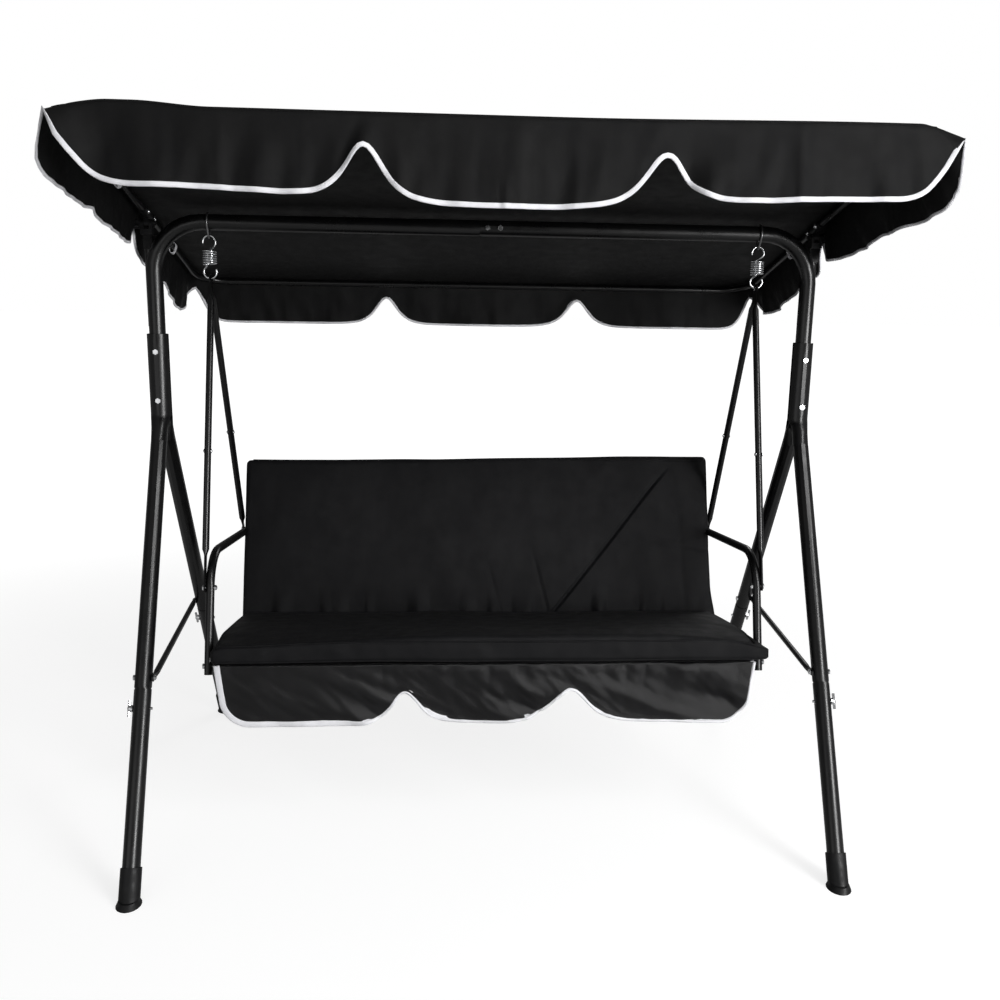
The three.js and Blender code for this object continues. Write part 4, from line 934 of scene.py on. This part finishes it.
# ---- Springs ----
def spring_path(centre_x, low, high):
    """Open hook, close coil, open hook, as points; and the heights of the coil's ends."""
    r = SPRING_R
    top, bottom = high.z - SPRING_WIRE, low.z + SPRING_WIRE
    coil_top, coil_bottom = top - UPPER_HOOK, bottom + LOWER_HOOK
    bend = np.radians(np.linspace(205, -48, 26))
    upper = np.stack([r * np.cos(bend), 0 * bend, top - r + r * np.sin(bend)], 1)
    spin = math.pi / 2 + np.linspace(0, 2 * math.pi * SPRING_TURNS, round(SPRING_TURNS * 32))
    fall = np.interp(spin, [spin[0], spin[-1]], [coil_top, coil_bottom])
    coil = np.stack([r * np.cos(spin), r * np.sin(spin), fall], 1)
    lower = np.stack([-r * np.cos(bend), 0 * bend, bottom + r - r * np.sin(bend)], 1)[::-1]
    path = np.vstack([upper, coil, lower])
    for _ in range(3):
        path[1:-1] = (path[:-2] + 2 * path[1:-1] + path[2:]) / 4
    path[:, 0] += centre_x
    return path, coil_top, coil_bottom


def springs():
    """The two tension springs, between the hanger and the seat."""
    for side in ("left", "right"):
        low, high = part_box(f"spring_{side}")
        x = (low.x + high.x) / 2
        path, coil_top, coil_bottom = spring_path(x, low, high)
        piece = wire(f"tension_spring_{side}", path, SPRING_WIRE, 12)
        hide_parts(f"spring_{side}")
        dressed(piece, SLOT_LOOKS["zinc"])
        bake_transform(piece)


# ---- Small fittings ----
HEAD = ((0.0043, 0.0), (0.0041, 0.0010), (0.0031, 0.0024), (0.0016, 0.0032), (0.0001, 0.0034))


def dome_screw(name, at, axis, body, size=1.0):
    """A round screw head on a thin washer."""
    profile = [(r * size, h * size) for r, h in HEAD]
    washer = [(0.0060 * size, -0.0004), (0.0060 * size, 0.0006 * size)]
    dressed(lathed(name, [*washer, *profile], at, axis), SLOT_LOOKS["zinc"], body)


def hanger_splices():
    """Each hanger rod is two lengths held by a bolt near its middle."""
    half_rod = 0.0078
    for side, sign in (("left", -1), ("right", 1)):
        for end, share in (("front", 0.44), ("rear", 0.43)):
            low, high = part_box(f"hanger_rod_{end}_{side}")
            near_y = high.y if end == "front" else low.y
            far_y = low.y if end == "front" else high.y
            at = Vector(((low.x + high.x) / 2, near_y + (far_y - near_y) * (1 - share),
                         low.z + (high.z - low.z) * share))
            for way in (-1, 1):
                dome_screw(f"splice_bolt_{end}_{side}_{'in' if way * sign < 0 else 'out'}",
                           at + Vector((way * half_rod, 0, 0)), (way, 0, 0), "seat", 0.9)


def canopy_screws():
    """Screws that hold the rods in the side joiners, on the inner face."""
    for side, sign in (("left", -1), ("right", 1)):
        low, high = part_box(f"canopy_joiner_{side}")
        inner = low.x if sign > 0 else high.x
        for end, along in (("front", -0.025), ("rear", 0.025)):
            at, _ = canopy_place(inner - sign * 0.0004, along, SIDE_ROD_RISE)
            dome_screw(f"joiner_screw_{end}_{side}", at, (-sign, 0, 0), "canopy", 1.1)


def build():
    """Every visible piece of the bench."""
    dress_cad_nodes()
    canopy_cover()
    tie_loops()
    pad("seat_pad", "seat_cushion", SEAT_SLOPE, 0.012, seat_shape)
    pad("back_pad", "back_cushion", BACK_LEAN, 0.009, back_shape)
    front_skirt()
    support_cloth()
    springs()
    hanger_splices()
    canopy_screws()


# ---- Stage, light and camera ----
def area_light(name, place, aim, size, power):
    """A soft box of size (width, height)."""
    light = bpy.data.lights.new(name, "AREA")
    light.shape = "RECTANGLE"
    light.size, light.size_y = size
    light.energy = power
    lamp = bpy.data.objects.new(name, light)
    lamp.location = place
    lamp.rotation_mode = "QUATERNION"
    lamp.rotation_quaternion = (Vector(aim) - Vector(place)).to_track_quat("-Z", "Y")
    bpy.context.scene.collection.objects.link(lamp)


def pale_floor():
    """Near-white floor that fades into the backdrop, with faint shadows."""
    floor = piece_from("floor", [(-60, -60, 0), (60, -60, 0), (60, 60, 0), (-60, 60, 0)], [(0, 1, 2, 3)])
    look = Look("pale_floor", Roughness=1.0, Specular_IOR_Level=0.0)
    rays = look.node("LightPath").outputs
    distance = look.node("VectorMath", {"operation": "LENGTH"}, _0=look.place.outputs["Object"])
    far = look.between(distance.outputs["Value"], FLOOR_GLOW, 1, 1.6, 5.0)
    tone = look.math("ADD", rays["Is Camera Ray"], look.between(look.noise(1.5, 3.0), -0.03, 0.03))
    look.set("Base Color", look.blend(tone, (0.20, 0.20, 0.20), (0.34, 0.34, 0.34)))
    shine = look.math("MULTIPLY", rays["Is Glossy Ray"], FLOOR_SHINE)
    seen = look.math("ADD", look.math("MULTIPLY", rays["Is Camera Ray"], far), shine)
    look.shader.inputs["Emission Color"].default_value = (1, 1, 1, 1)
    look.set("Emission Strength", seen)
    floor.data.materials.append(look.material)


def studio_world():
    """White backdrop; softer light comes mostly from the front and the right."""
    world = bpy.data.worlds.new("studio")
    bpy.context.scene.world = world
    world.use_nodes = True
    nodes = Nodes(world.node_tree)
    x, y, _ = nodes.node("SeparateXYZ", Vector=nodes.place.outputs["Generated"]).outputs
    front = nodes.between(y, WORLD_LIGHT["front"], WORLD_LIGHT["rear"], -1.0, 0.6)
    right = nodes.between(x, WORLD_LIGHT["left_share"], 1.0, -1.0, 1.0)
    rays = nodes.node("LightPath").outputs
    mirrored = nodes.between(rays["Is Glossy Ray"], 1.0, WORLD_LIGHT["mirrored_share"], 0, 1)
    light = nodes.math("MULTIPLY", nodes.math("MULTIPLY", front, right), mirrored)
    strength = nodes.node("Mix", _0=rays["Is Camera Ray"], _2=light, _3=1.0).outputs[0]
    background = world.node_tree.nodes["Background"]
    background.inputs[0].default_value = (1, 1, 1, 1)
    nodes.tree.links.new(strength, background.inputs[1])


def stage():
    """Floor, backdrop and lights, which are not part of the bench."""
    pale_floor()
    studio_world()
    area_light("key_light", (2.7, -3.3, 1.2), (0, 0, 0.9), (1.1, 2.3), 124)
    area_light("high_strip", (2.6, -3.2, 3.4), (-0.4, -0.3, 0.7), (0.8, 2.4), 68)
    area_light("fill_light", (-2.4, -3.6, 1.0), (0, 0, 0.9), (2.6, 2.4), 12)
    area_light("rear_light", (2.2, 3.4, 3.0), (0, 0, 0.8), (1.2, 2.0), 26)
    bpy.context.scene.view_settings.view_transform = "Standard"


def camera():
    """The view from the photo's standpoint."""
    yaw, pitch, roll = CAMERA_TURN["yaw"], CAMERA_TURN["pitch"], CAMERA_TURN["roll"]
    ahead = Vector((math.sin(yaw) * math.cos(pitch), math.cos(yaw) * math.cos(pitch), -math.sin(pitch)))
    level = Vector((math.cos(yaw), -math.sin(yaw), 0))
    above = level.cross(ahead)
    right = level * math.cos(roll) + above * math.sin(roll)
    up = above * math.cos(roll) - level * math.sin(roll)
    data = bpy.data.cameras.new("camera")
    data.sensor_width = 36
    data.lens = CAMERA_LENS
    viewer = bpy.data.objects.new("camera", data)
    viewer.matrix_world = Matrix((
        (right.x, up.x, -ahead.x, CAMERA_PLACE.x),
        (right.y, up.y, -ahead.y, CAMERA_PLACE.y),
        (right.z, up.z, -ahead.z, CAMERA_PLACE.z),
        (0, 0, 0, 1),
    ))
    bpy.context.scene.collection.objects.link(viewer)
    bpy.context.scene.camera = viewer


build()
stage()
camera()
